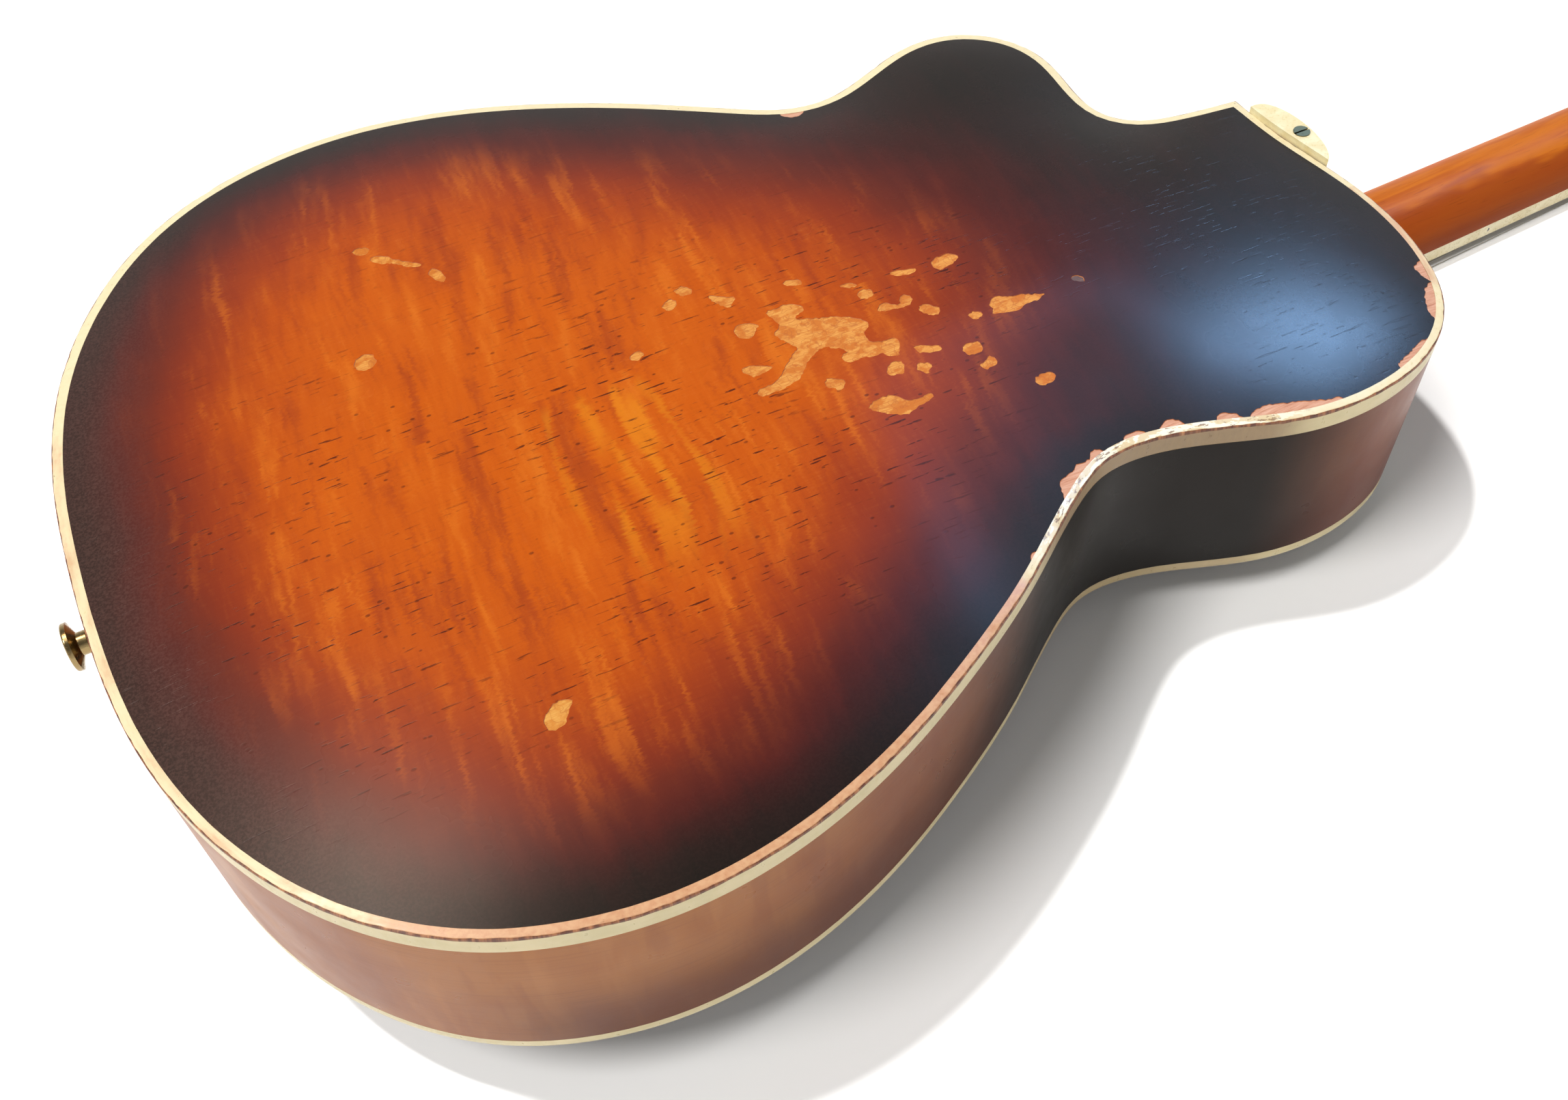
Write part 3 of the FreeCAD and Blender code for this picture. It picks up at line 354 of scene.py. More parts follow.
def cubic_through(pts, n):
    """Natural cubic spline through pts with chord-length parameters, n points evenly spaced along it."""
    p = np.array(pts, float)
    t = np.concatenate([[0], np.cumsum(np.hypot(*np.diff(p, axis=0).T))])
    h = np.diff(t)
    k = len(p)
    A = np.zeros((k, k))
    B = np.zeros((k, 2))
    A[0, 0] = A[-1, -1] = 1.0
    for i in range(1, k - 1):
        A[i, i - 1], A[i, i], A[i, i + 1] = h[i - 1], 2 * (h[i - 1] + h[i]), h[i]
        B[i] = 6 * ((p[i + 1] - p[i]) / h[i] - (p[i] - p[i - 1]) / h[i - 1])
    M = np.linalg.solve(A, B)
    u = np.linspace(0, t[-1], n * 6)
    i = np.clip(np.searchsorted(t, u, side="right") - 1, 0, k - 2)
    a, b = (t[i + 1] - u)[:, None], (u - t[i])[:, None]
    H = h[i][:, None]
    q = (M[i] * a ** 3 + M[i + 1] * b ** 3) / (6 * H) + (p[i] / H - M[i] * H / 6) * a + (p[i + 1] / H - M[i + 1] * H / 6) * b
    s = np.concatenate([[0], np.cumsum(np.hypot(*np.diff(q, axis=0).T))])
    w = np.linspace(0, s[-1], n)
    return np.column_stack([np.interp(w, s, q[:, 0]), np.interp(w, s, q[:, 1])]), s[-1]


N_RIM = 900
RIM, RIM_LEN = cubic_through(OUTLINE, N_RIM + 1)
RIM = RIM[:-1]
CLOSED = np.vstack([RIM, RIM[:1]])


def inset(d):
    """The rim moved inwards by d, one point for each rim point (mitred at the corner)."""
    nxt, prv = np.roll(RIM, -1, 0), np.roll(RIM, 1, 0)
    e1, e2 = RIM - prv, nxt - RIM
    n1 = np.column_stack([-e1[:, 1], e1[:, 0]]) / np.hypot(*e1.T)[:, None]
    n2 = np.column_stack([-e2[:, 1], e2[:, 0]]) / np.hypot(*e2.T)[:, None]
    m = n1 + n2
    m /= np.maximum((m * n1).sum(1), 0.35)[:, None]
    return RIM + m * np.asarray(d).reshape(-1, 1)


def rim_distance(q):
    """pi over the rim's integral of ds / r^2, as in the design of the arch."""
    q = np.asarray(q, float)
    mid = (CLOSED[:-1] + CLOSED[1:]) / 2
    ds = np.hypot(*np.diff(CLOSED, axis=0).T)
    out = np.zeros(len(q))
    for i in range(0, len(q), 2000):
        r2 = ((q[i:i + 2000, None, :] - mid[None]) ** 2).sum(2)
        out[i:i + 2000] = np.pi / (ds[None] / np.maximum(r2, 0.6)).sum(1)
    return out


def arch(q, rise, reach=85.0):
    u = np.clip(rim_distance(q) / reach, 0, 1)
    return rise * (1 - (1 - u) ** 2)


rng = np.random.default_rng(7)


def smooth(t, a, b):
    v = np.clip((t - a) / (b - a), 0, 1)
    return v * v * (3 - 2 * v)


# ------------------------------------------------------------------ back plate, with its wear
# each patch of missing finish is an outline in body millimetres: (kind, points)
CHIPS = [
    ("wood", [(218.1, 1.5), (220.3, 2.2), (222.3, 1.3), (224.8, 2.2), (227.6, 1.3), (229.4, -0.5), (230.2, -2.1), (228.8, -3.7), (226.4, -4.0), (225.3, -5.4), (226.8, -6.4), (228.8, -6.6), (231.2, -8.0), (234.0, -9.0), (237.3, -10.2), (240.1, -11.8), (242.9, -14.2), (244.8, -17.1), (244.1, -19.1), (241.7, -20.3), (240.9, -22.7), (241.5, -25.1), (243.7, -26.0), (246.2, -26.6), (249.2, -26.4), (249.6, -29.2), (247.8, -31.6), (246.8, -33.9), (244.5, -33.6), (242.9, -32.4), (242.8, -30.8), (238.9, -31.0), (236.5, -29.6), (233.6, -30.2), (231.2, -29.6), (230.0, -28.0), (230.8, -26.0), (233.2, -25.6), (232.3, -23.5), (230.0, -22.3), (228.4, -20.7), (226.0, -20.7), (223.5, -21.9), (220.3, -23.9), (218.3, -26.0), (215.5, -28.8), (212.2, -30.0), (207.4, -30.6), (202.1, -30.5), (200.8, -28.5), (202.5, -27.4), (207.4, -26.9), (211.0, -25.1), (213.4, -22.3), (216.3, -20.3), (218.3, -18.3), (220.3, -17.1), (219.1, -14.6), (217.5, -11.4), (216.7, -9.0), (217.1, -7.4), (219.1, -7.0), (219.9, -5.0), (219.1, -1.7)]),
    ("wood", [(196.9, 24.5), (200.1, 25.6), (202.4, 22.5), (201.3, 20.5), (198.5, 20.7), (197.0, 22.5)]),
    ("wood", [(190.4, 19.3), (193.0, 21.5), (195.4, 20.9), (195.7, 18.9), (193.8, 16.5), (191.2, 17.0)]),
    ("wood", [(205.3, 16.7), (206.7, 17.0), (209.8, 14.4), (213.2, 12.4), (211.4, 10.4), (209.2, 8.6), (207.8, 10.4), (205.6, 14.4)]),
    ("wood", [(229.4, 12.0), (231.6, 11.6), (234.7, 10.4), (234.9, 8.4), (233.2, 8.0), (230.8, 8.9), (229.2, 10.0)]),
    ("wood", [(206.4, -0.1), (209.2, 0.9), (212.2, -0.1), (214.3, -2.5), (211.8, -4.5), (209.8, -6.6), (207.0, -5.6), (205.9, -2.9)]),
    ("wood", [(201.3, -16.9), (204.6, -17.1), (207.4, -18.8), (210.2, -20.7), (208.8, -21.8), (205.0, -21.9), (202.9, -22.3), (202.4, -20.3), (200.9, -19.1)]),
    ("wood", [(244.4, 1.9), (246.3, 2.2), (249.8, 0.1), (249.2, -1.3), (246.2, -0.3), (244.5, 0.7)]),
    ("wood", [(247.0, -5.4), (249.8, -2.9), (252.6, -4.5), (253.0, -6.2), (250.6, -7.9), (247.8, -6.7)]),
    ("wood", [(261.1, -0.9), (262.7, -0.1), (266.4, -1.1), (270.0, -2.1), (269.6, -3.7), (266.4, -4.0), (262.7, -2.7)]),
    ("wood", [(275.6, -2.1), (278.5, -0.8), (282.9, -0.9), (284.1, -2.1), (285.2, -3.5), (283.3, -5.4), (279.3, -6.2), (277.3, -7.2), (275.4, -5.4)]),
    ("wood", [(249.8, -14.2), (251.4, -12.1), (253.3, -11.4), (255.0, -13.4), (257.5, -14.8), (258.3, -12.2), (259.9, -10.8), (262.2, -12.4), (262.3, -14.6), (260.3, -16.4), (257.9, -16.3), (255.0, -15.6), (251.8, -15.5)]),
    ("wood", [(261.3, -19.1), (263.1, -17.7), (265.5, -18.3), (266.5, -20.3), (267.8, -21.5), (266.8, -23.9), (264.3, -23.9), (262.7, -22.3)]),
    ("wood", [(273.8, -28.4), (276.1, -27.6), (278.1, -29.2), (278.3, -30.4), (276.1, -31.8), (274.6, -30.8)]),
    ("wood", [(282.1, -27.6), (284.9, -25.1), (287.2, -25.6), (289.9, -27.6), (293.8, -28.2), (296.6, -29.6), (300.7, -31.4), (296.6, -32.8), (293.0, -32.4), (290.6, -33.8), (287.0, -33.6), (283.3, -32.4), (280.9, -31.4), (282.5, -29.6)]),
    ("wood", [(251.8, -32.8), (253.8, -32.8), (256.7, -34.4), (259.5, -35.6), (260.1, -37.7), (258.3, -38.1), (255.5, -37.3), (252.6, -36.1)]),
    ("wood", [(239.4, -39.3), (240.5, -37.3), (243.7, -35.2), (246.0, -36.5), (245.8, -38.9), (244.5, -41.3), (242.1, -40.9), (239.7, -40.3)]),
    ("wood", [(248.2, -42.1), (249.8, -39.3), (251.8, -40.1), (253.6, -40.9), (253.3, -42.9), (251.4, -43.6), (250.6, -45.3), (249.8, -43.3)]),
    ("wood", [(264.7, -40.1), (267.6, -39.0), (271.0, -39.5), (271.6, -41.7), (270.0, -44.1), (265.5, -43.9), (265.1, -42.1)]),
    ("wood", [(266.2, -48.2), (268.8, -47.8), (271.2, -46.1), (272.4, -48.6), (271.6, -50.6), (266.8, -51.0)]),
    ("wood", [(220.7, -34.4), (222.3, -32.6), (225.2, -34.0), (227.2, -36.1), (226.0, -37.7), (223.5, -39.3), (222.9, -37.3), (220.7, -36.1)]),
    ("wood", [(227.7, -49.0), (229.6, -47.6), (233.2, -46.8), (236.5, -47.1), (239.1, -49.8), (239.7, -51.6), (243.7, -52.2), (247.8, -51.6), (247.9, -53.8), (243.7, -54.6), (240.5, -55.4), (237.7, -56.5), (235.3, -55.4), (232.0, -53.4), (229.2, -51.0)]),
    ("wood", [(277.7, -61.5), (279.3, -60.0), (282.5, -59.5), (284.9, -60.3), (285.3, -62.3), (283.3, -63.9), (279.3, -63.8), (278.1, -62.7)]),
    ("wood", [(110.7, 92.9), (112.7, 94.1), (115.8, 92.9), (116.5, 91.0), (114.6, 89.3), (111.4, 90.3)]),
    ("wood", [(114.8, 86.7), (117.4, 87.1), (120.3, 85.0), (122.6, 82.0), (126.0, 79.1), (129.6, 75.6), (128.3, 74.8), (125.0, 76.3), (120.9, 80.8), (117.1, 82.4), (115.2, 84.6)]),
    ("wood", [(129.9, 70.5), (131.8, 72.2), (134.0, 69.3), (134.7, 65.4), (133.1, 63.3), (131.1, 65.4), (129.9, 68.0)]),
    ("wood", [(96.1, 40.3), (97.3, 43.1), (100.5, 44.4), (103.1, 42.5), (103.1, 38.7), (99.9, 36.7), (96.7, 38.0)]),
    ("wood", [(172.6, 2.3), (173.2, 4.2), (177.1, 5.1), (177.3, 2.3), (174.8, 0.8), (173.0, 1.3)]),
    ("yellow", [(102.6, -108.1), (103.0, -105.6), (106.2, -102.4), (109.6, -101.6), (112.0, -103.4), (109.6, -106.3), (107.6, -109.3), (104.7, -110.0)]),
    ("scuff", [(311.2, -29.0), (313.4, -28.6), (315.4, -30.2), (314.6, -32.4), (312.4, -31.6), (311.6, -30.6)]),
    ("edge", [(263.0, -104.5), (264.7, -96.5), (267.0, -95.3), (269.8, -94.8), (273.2, -92.8), (276.3, -92.6), (277.8, -92.7), (279.4, -90.3), (281.8, -90.3), (283.8, -91.9), (285.0, -98.0), (275.0, -100.5)]),
    ("edge", [(289.8, -97.0), (290.6, -90.6), (294.0, -89.3), (296.9, -89.9), (298.5, -91.6), (299.4, -97.0)]),
    ("edge", [(302.0, -98.0), (302.8, -91.8), (305.5, -90.4), (308.3, -90.7), (309.9, -92.7), (311.2, -94.9), (315.0, -95.8), (317.6, -96.2), (317.4, -102.0)]),
    ("edge", [(318.6, -102.5), (319.0, -97.0), (321.0, -95.6), (323.5, -96.1), (326.1, -97.9), (327.7, -100.3), (327.9, -105.0)]),
    ("edge", [(328.9, -105.0), (329.0, -100.9), (331.1, -99.2), (334.3, -99.1), (338.4, -99.8), (341.7, -101.4), (346.0, -102.6), (352.0, -105.2), (358.0, -106.4), (359.0, -112.0), (343.0, -111.0)]),
    ("edge", [(242.4, -121.0), (243.4, -115.6), (245.6, -114.0), (247.8, -114.8), (248.6, -118.0)]),
    ("edge", [(380.7, -109.5), (381.4, -103.6), (384.6, -102.6), (388.7, -101.2), (393.6, -99.4), (397.6, -99.0), (399.4, -102.5)]),
    ("edge", [(404.8, -99.0), (404.3, -90.2), (407.0, -85.4), (410.6, -81.6), (413.8, -79.6), (418.0, -81.0)]),
    ("edge", [(416.0, -82.0), (413.4, -77.2), (413.6, -72.4), (417.2, -70.4), (422.4, -71.0)]),
    ("edge", [(269.0, 108.0), (270.4, 95.4), (273.0, 92.9), (276.2, 92.7), (278.6, 94.6), (279.6, 102.0)]),
]
CHIP_DEPTH = 0.16
BIND_BACK, BIND_FRONT = 7.2, 4.0
EDGE_IN = 3.4 + 0.75 * np.clip(RIM[:, 1] / 120.0, -1, 1)
PLATE_EDGE = inset(EDGE_IN)


def poly_area(p):
    p = np.asarray(p)
    return 0.5 * np.sum(p[:, 0] * np.roll(p[:, 1], -1) - np.roll(p[:, 0], -1) * p[:, 1])


def ragged(pts, seed, step=0.9, amp=0.16):
    """Resamples a patch outline finely and gives it a broken edge."""
    r = np.random.default_rng(seed)
    p = np.asarray(pts, float)
    if poly_area(p) < 0:
        p = p[::-1]
    out = []
    for a, b in zip(p, np.roll(p, -1, 0)):
        n = max(1, int(round(np.hypot(*(b - a)) / step)))
        for k in range(n):
            out.append(a + (b - a) * k / n)
    out = np.array(out)
    # one light smoothing pass, then jitter along the normal
    out = 0.25 * np.roll(out, 1, 0) + 0.5 * out + 0.25 * np.roll(out, -1, 0)
    t = np.roll(out, -1, 0) - np.roll(out, 1, 0)
    nrm = np.column_stack([t[:, 1], -t[:, 0]]) / np.maximum(np.hypot(*t.T), 1e-6)[:, None]
    j = r.normal(0, amp, len(out))
    return out + nrm * np.clip(j, -0.3, 0.3)[:, None]


def shrink(p, d):
    e1 = p - np.roll(p, 1, 0)
    e2 = np.roll(p, -1, 0) - p
    n1 = np.column_stack([-e1[:, 1], e1[:, 0]]) / np.maximum(np.hypot(*e1.T), 1e-6)[:, None]
    n2 = np.column_stack([-e2[:, 1], e2[:, 0]]) / np.maximum(np.hypot(*e2.T), 1e-6)[:, None]
    m = n1 + n2
    m /= np.maximum(np.hypot(*m.T), 1e-6)[:, None]
    return p + m * d


def inside_poly(q, poly):
    q = np.asarray(q, float)
    x, y = q[:, 0], q[:, 1]
    c = np.zeros(len(q), bool)
    px, py = poly[:, 0], poly[:, 1]
    qx, qy = np.roll(px, -1), np.roll(py, -1)
    for ax, ay, bx, by in zip(px, py, qx, qy):
        hit = (ay > y) != (by > y)
        xs = ax + (y - ay) * (bx - ax) / (by - ay if by != ay else 1e-9)
        c ^= hit & (x < xs)
    return c


def burst_value(q):
    """0 in the black edge of the sunburst, 1 in its orange middle."""
    d = rim_distance(q)
    t_rim = np.interp(d, [0, 6, 12, 19, 27, 36, 46, 56, 70], [0.0, 0.07, 0.20, 0.35, 0.48, 0.65, 0.82, 0.94, 1.0])
    dx = np.maximum(q[:, 0] - 140.0, 0) / 152.0
    dy = np.abs(q[:, 1] + 4.0) / 133.0
    r = (dx ** 1.5 + dy ** 1.5) ** (1 / 1.5)
    t_up = np.interp(r, [0.35, 0.55, 0.70, 0.85, 0.97, 1.08, 1.2, 1.34, 1.5, 1.7],
                     [1.0, 0.95, 0.86, 0.69, 0.54, 0.41, 0.29, 0.18, 0.07, 0.0])
    blend = smooth(q[:, 0], 118.0, 185.0)
    t_up = 1 - (1 - t_up) * blend
    return np.minimum(t_rim, t_up) * 0.72 + t_rim * t_up * 0.28


def build_back():
    edge = PLATE_EDGE[::3]
    verts, faces, kinds = [tuple(p) for p in edge], [list(range(len(edge)))], ["plate"]
    for i, (kind, pts) in enumerate(CHIPS):
        outer = ragged(pts, 100 + i)
        inner = shrink(outer, 0.14)
        for tag, poly in (("rimwall", outer), (kind, inner)):
            base = len(verts)
            verts += [tuple(p) for p in poly]
            faces.append(list(range(base, base + len(poly))))
            kinds.append(tag)
    # even grid inside, closer together towards the rim
    g = []
    for j, y in enumerate(np.arange(-166.0, 167.0, 3.6)):
        off = 2.1 if j % 2 else 0.0
        g += [(x + off, y) for x in np.arange(0.0, 426.0, 4.2)]
    g = np.array(g)
    g = g[inside_poly(g, inset(EDGE_IN + 1.9)[::4])]
    ring = inset(EDGE_IN + 1.0)[1::4]
    g = np.vstack([g, ring[inside_poly(ring, PLATE_EDGE[::3])]])
    verts += [tuple(p) for p in g]
    vo, eo, fo, ov, oe, of = geometry.delaunay_2d_cdt([Vector(v) for v in verts], [], faces, 1, 1e-4, True)
    P = np.array([(v.x, v.y) for v in vo])
    tri, mat = [], []
    names = {"plate": 0, "rimwall": 1, "wood": 2, "yellow": 3, "scuff": 4, "edge": 5}
    sunk = np.zeros(len(P), bool)
    touched = np.zeros(len(P), bool)
    for f, o in zip(fo, of):
        if 0 not in o:
            continue
        k = [kinds[i] for i in o if i]
        what = next((q for q in k if q != "rimwall"), None)
        if what is None:
            what = "rimwall" if k else "plate"
        f = list(f)
        a = P[f]
        if abs(poly_area(a)) < 1e-7:
            continue
        if poly_area(a) < 0:
            f = f[::-1]
        tri.append(f)
        mat.append(names[what])
        if what not in ("plate", "rimwall"):
            for i in f:
                sunk[i] = True
        for i in f:
            touched[i] = True
    keep = np.flatnonzero(touched)
    remap = -np.ones(len(P), int)
    remap[keep] = np.arange(len(keep))
    P, sunk = P[keep], sunk[keep]
    tri = [[int(remap[i]) for i in f] for f in tri]
    z = 70.0 + arch(P, 7.0)
    depth = np.where(sunk, CHIP_DEPTH + 0.03 * np.sin(P[:, 0] * 1.7) * np.cos(P[:, 1] * 2.1), 0.0)
    n = len(P)
    top = np.column_stack([P, z - depth])
    low = np.column_stack([P, np.maximum(z - 3.4, 66.6)])
    V3 = np.vstack([top, low])
    F = [list(f) for f in tri] + [[i + n for i in f[::-1]] for f in tri]
    FM = list(mat) + [6] * len(tri)
    # wall round the outside: edges used by one top face only
    count = {}
    for f in tri:
        for a, b in zip(f, f[1:] + f[:1]):
            count[(a, b)] = count.get((a, b), 0) + 1
    for (a, b) in list(count):
        if (b, a) not in count:
            F.append([b, a, a + n, b + n])
            FM.append(6)
    return V3, F, FM, P, burst_value(P), n


# -------- materials of the back
def burst_material(name, use_attr=True):
    m = Mat(name, rough=0.26, spec=0.19)
    x, y, z = m.xyz()
    burst = m.attr("burst") if use_attr else None
    # two bookmatched halves: the figure changes at the centre seam
    half = m.math("LESS_THAN", y, -0.4)
    xs = m.add(x, m.mul(half, 141.0))
    warp = m.noise(m.scaled(0.010, 0.010, 0.0), 1.0, 1.0)
    jag = m.noise(m.scaled(0.050, 0.95, 0.0), 1.0, 3.0, 0.70)
    wx = m.add(xs, m.mul(m.math("SUBTRACT", warp, 0.5), 16.0))
    wx = m.add(wx, m.mul(m.math("SUBTRACT", jag, 0.5), 5.5))
    # the flames lean a little towards the neck on the cutaway side
    wx = m.add(wx, m.mul(y, m.line(half, 0.0, 1.0, -0.10, -0.09)))
    band1 = m.noise(m.vec(m.mul(wx, 0.060), m.mul(y, 0.0120), m.mul(half, 9.0)), 1.0, 1.0, 0.5)
    band2 = m.noise(m.vec(m.mul(wx, 0.150), m.mul(y, 0.020), m.add(4.0, m.mul(half, 5.0))), 1.0, 2.0, 0.5)
    band3 = m.noise(m.vec(m.mul(wx, 0.42), m.mul(y, 0.050), 8.0), 1.0, 3.0, 0.6)
    flame = m.add(m.mul(m.math("SUBTRACT", band1, 0.5), 0.62), m.mul(m.math("SUBTRACT", band2, 0.5), 0.72))
    flame = m.add(flame, m.mul(m.math("SUBTRACT", band3, 0.5), 0.55))
    streak_at = m.mul(m.step(m.math("ABSOLUTE", m.math("SUBTRACT", x, 158.0)), 34.0, 10.0), m.mul(half, m.step(y, -88.0, -50.0)))
    streak_at = m.mul(streak_at, m.step(y, -2.0, -10.0))
    sx = m.add(wx, m.mul(y, -0.01))
    streak = m.mul(m.step(m.noise(m.vec(m.mul(sx, 0.17), m.mul(y, 0.020), 23.0), 1.0, 1.0, 0.4), 0.50, 0.66), streak_at)
    # spray edge wanders a little
    wander = m.noise(m.scaled(0.021, 0.021, 0.0), 1.0, 3.0, 0.55)
    b0 = m.add(burst, m.mul(m.math("SUBTRACT", wander, 0.5), 0.20))
    b1 = m.add(b0, m.mul(flame, 0.14))
    base = m.ramp(b1, [
        (0.00, rgb(20, 18, 14)), (0.12, rgb(34, 20, 17)), (0.25, rgb(56, 22, 19)), (0.36, rgb(80, 28, 22)),
        (0.47, rgb(102, 38, 25)), (0.58, rgb(126, 46, 24)), (0.72, rgb(152, 58, 20)), (0.86, rgb(178, 74, 14)), (1.0, rgb(196, 88, 12))])
    # flame light and shade in the open colour
    inner = m.step(b0, 0.30, 0.95)
    light = m.step(flame, 0.02, 0.30)
    dark = m.step(flame, 0.00, -0.24)
    base = m.mix(m.mul(m.mul(light, inner), 0.62), base, rgb(216, 116, 30))
    base = m.mix(m.mul(m.mul(dark, inner), 0.54), base, rgb(146, 52, 22))
    base = m.mix(m.mul(streak, 0.58), base, rgb(222, 134, 26))
    # fibres along the body and fine curl across it
    fibre = m.noise(m.scaled(0.050, 1.1, 0.0), 1.0, 3.0, 0.7)
    curl = m.noise(m.scaled(0.60, 0.085, 0.0), 1.0, 3.0, 0.65)
    tone = m.add(m.mul(m.math("SUBTRACT", fibre, 0.5), 0.22), m.mul(m.math("SUBTRACT", curl, 0.5), 0.26))
    base = m.mix(m.mul(m.step(tone, 0.0, 0.14), inner), base, m.mix(0.30, base, rgb(214, 120, 48)))
    base = m.mix(m.mul(m.step(tone, 0.0, -0.14), inner), base, m.mix(0.34, base, rgb(96, 34, 18)))
    # open pores: short dark dashes along the body, thickest below the seam
    where = m.step(m.noise(m.scaled(0.014, 0.022, 0.0, loc=(3.1, 0.7, 0.0)), 1.0, 2.0), 0.38, 0.56)
    zone = m.mul(m.step(y, 66.0, 8.0, 0.30, 1.0), m.step(y, -128.0, -96.0))
    dash = m.noise(m.scaled(0.070, 1.00, 0.0), 1.0, 2.0, 0.5)
    cut = m.noise(m.scaled(0.26, 0.60, 0.0, loc=(0.0, 7.0, 0.0)), 1.0, 2.0, 0.5)
    dash = m.mul(m.step(dash, 0.610, 0.665), m.step(cut, 0.44, 0.52))
    dash = m.mul(m.mul(dash, where), zone)
    speck = m.step(m.voronoi(m.scaled(0.16, 0.26, 0.0), 1.0), 0.150, 0.085)
    sp_on = m.step(m.noise(m.scaled(0.05, 0.05, 0.0, loc=(9.0, 2.0, 0.0)), 1.0, 2.0), 0.47, 0.56)
    pores = m.math("MAXIMUM", dash, m.mul(m.mul(m.mul(speck, sp_on), zone), 0.7))
    base = m.mix(m.mul(m.mul(pores, 0.88), m.step(b0, 0.18, 0.5)), base, rgb(66, 22, 12))
    # fine speckled lightening in the dark edge, thickest at the tail: partly dust, partly a painted sheen of reflected
    # light
    dust_and_sheen_noise = m.step(m.noise(m.scaled(1.3, 1.3, 1.3, loc=(2.0, 5.0, 1.0)), 1.0, 2.0, 0.7), 0.36, 0.66, 0.45, 1.0)
    dust_and_sheen = m.mul(m.mul(dust_and_sheen_noise, m.step(x, 84.0, 12.0, 0.03, 0.20)), m.step(b0, 0.62, 0.20))
    base = m.mix(dust_and_sheen, base, rgb(150, 108, 98))
    m.color(base)
    haze = m.noise(m.scaled(0.05, 0.05, 0.05), 1.0, 3.0, 0.6)
    # the polish is rubbed dull at the waist, where the instrument is held
    dull = m.mul(m.step(m.math("ABSOLUTE", m.math("SUBTRACT", x, 274.0)), 62.0, 26.0), m.step(y, -18.0, -52.0))
    m.rough(m.add(m.line(haze, 0.3, 0.7, 0.26, 0.285), m.mul(dull, 0.27)))
    peel = m.noise(m.scaled(0.55, 0.55, 0.55), 1.0, 2.0, 0.5)
    m.bump(m.add(m.mul(peel, 0.32), m.mul(pores, -0.6)), 0.05, 0.55)
    return m.m


def bare_wood(name, light, mid, dark, rough=0.62, stain=None):
    m = Mat(name, rough=rough, spec=0.25)
    g = m.noise(m.scaled(0.16, 2.0, 0.6), 1.0, 4.0, 0.65)
    c = m.ramp(g, [(0.22, dark), (0.42, mid), (0.72, light)])
    blot = m.noise(m.scaled(0.22, 0.26, 0.22), 1.0, 3.0, 0.6)
    if stain:
        # thin lacquer left behind in places
        c = m.mix(m.step(blot, 0.44, 0.60, 0.0, 0.80), c, stain)
        ring = m.math("ABSOLUTE", m.math("SUBTRACT", m.noise(m.scaled(0.30, 0.34, 0.3, loc=(5.0, 1.0, 2.0)), 1.0, 1.0), 0.5))
        c = m.mix(m.step(ring, 0.030, 0.006, 0.0, 0.5), c, dark)
    dots = m.step(m.voronoi(m.scaled(0.8, 1.3, 0.8), 1.0), 0.16, 0.06)
    c = m.mix(m.mul(dots, 0.45), c, dark)
    m.color(c)
    m.bump(g, 0.08, 0.6)
    return m.m


mat_back = burst_material("back_lacquer")
mw = Mat("lacquer_break", rough=0.5)
mw.color(mw.ramp(mw.noise(mw.scaled(0.6, 0.6, 0.6), 1.0, 3.0), [(0.3, rgb(150, 74, 30)), (0.7, rgb(204, 124, 58))]))
mat_wall = mw.m
mat_chip = bare_wood("chip_wood", rgb(232, 168, 82), rgb(212, 136, 54), rgb(178, 94, 30), stain=rgb(196, 104, 16))
mat_yellow = bare_wood("chip_yellow", rgb(228, 172, 86), rgb(214, 148, 64), rgb(184, 106, 38), stain=rgb(204, 126, 40))
mat_scuff = bare_wood("chip_scuff", rgb(126, 100, 95), rgb(100, 78, 76), rgb(66, 50, 52))
mat_edge = bare_wood("edge_wood", rgb(226, 180, 156), rgb(206, 148, 118), rgb(160, 94, 66))
mat_inside = bare_wood("bare_maple", rgb(198, 160, 112), rgb(180, 138, 92), rgb(146, 104, 66))

V3, F, FM, P2, burst, n_top = build_back()
back = mesh_object("back_visual", Wn(V3), F, [mat_back, mat_wall, mat_chip, mat_yellow, mat_scuff, mat_edge, mat_inside], FM)
at = back.data.attributes.new("burst", "FLOAT", "POINT")
at.data.foreach_set("value", np.concatenate([burst, burst]).astype(np.float32))


def sharpen(o, angle_deg=30.0, by_material=True):
    """Marks as sharp the edges over the angle and, if asked, between two materials."""
    import bmesh
    bm = bmesh.new()
    bm.from_mesh(o.data)
    lim = math.radians(angle_deg)
    for e in bm.edges:
        if len(e.link_faces) != 2:
            e.smooth = False
        else:
            f, g = e.link_faces
            if by_material and f.material_index != g.material_index:
                e.smooth = False
            elif f.normal.length > 0 and g.normal.length > 0 and f.normal.angle(g.normal, 0.0) > lim:
                e.smooth = False
    bm.to_mesh(o.data)
    bm.free()


sharpen(back)
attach(back, "instrument")
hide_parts("back_plate")


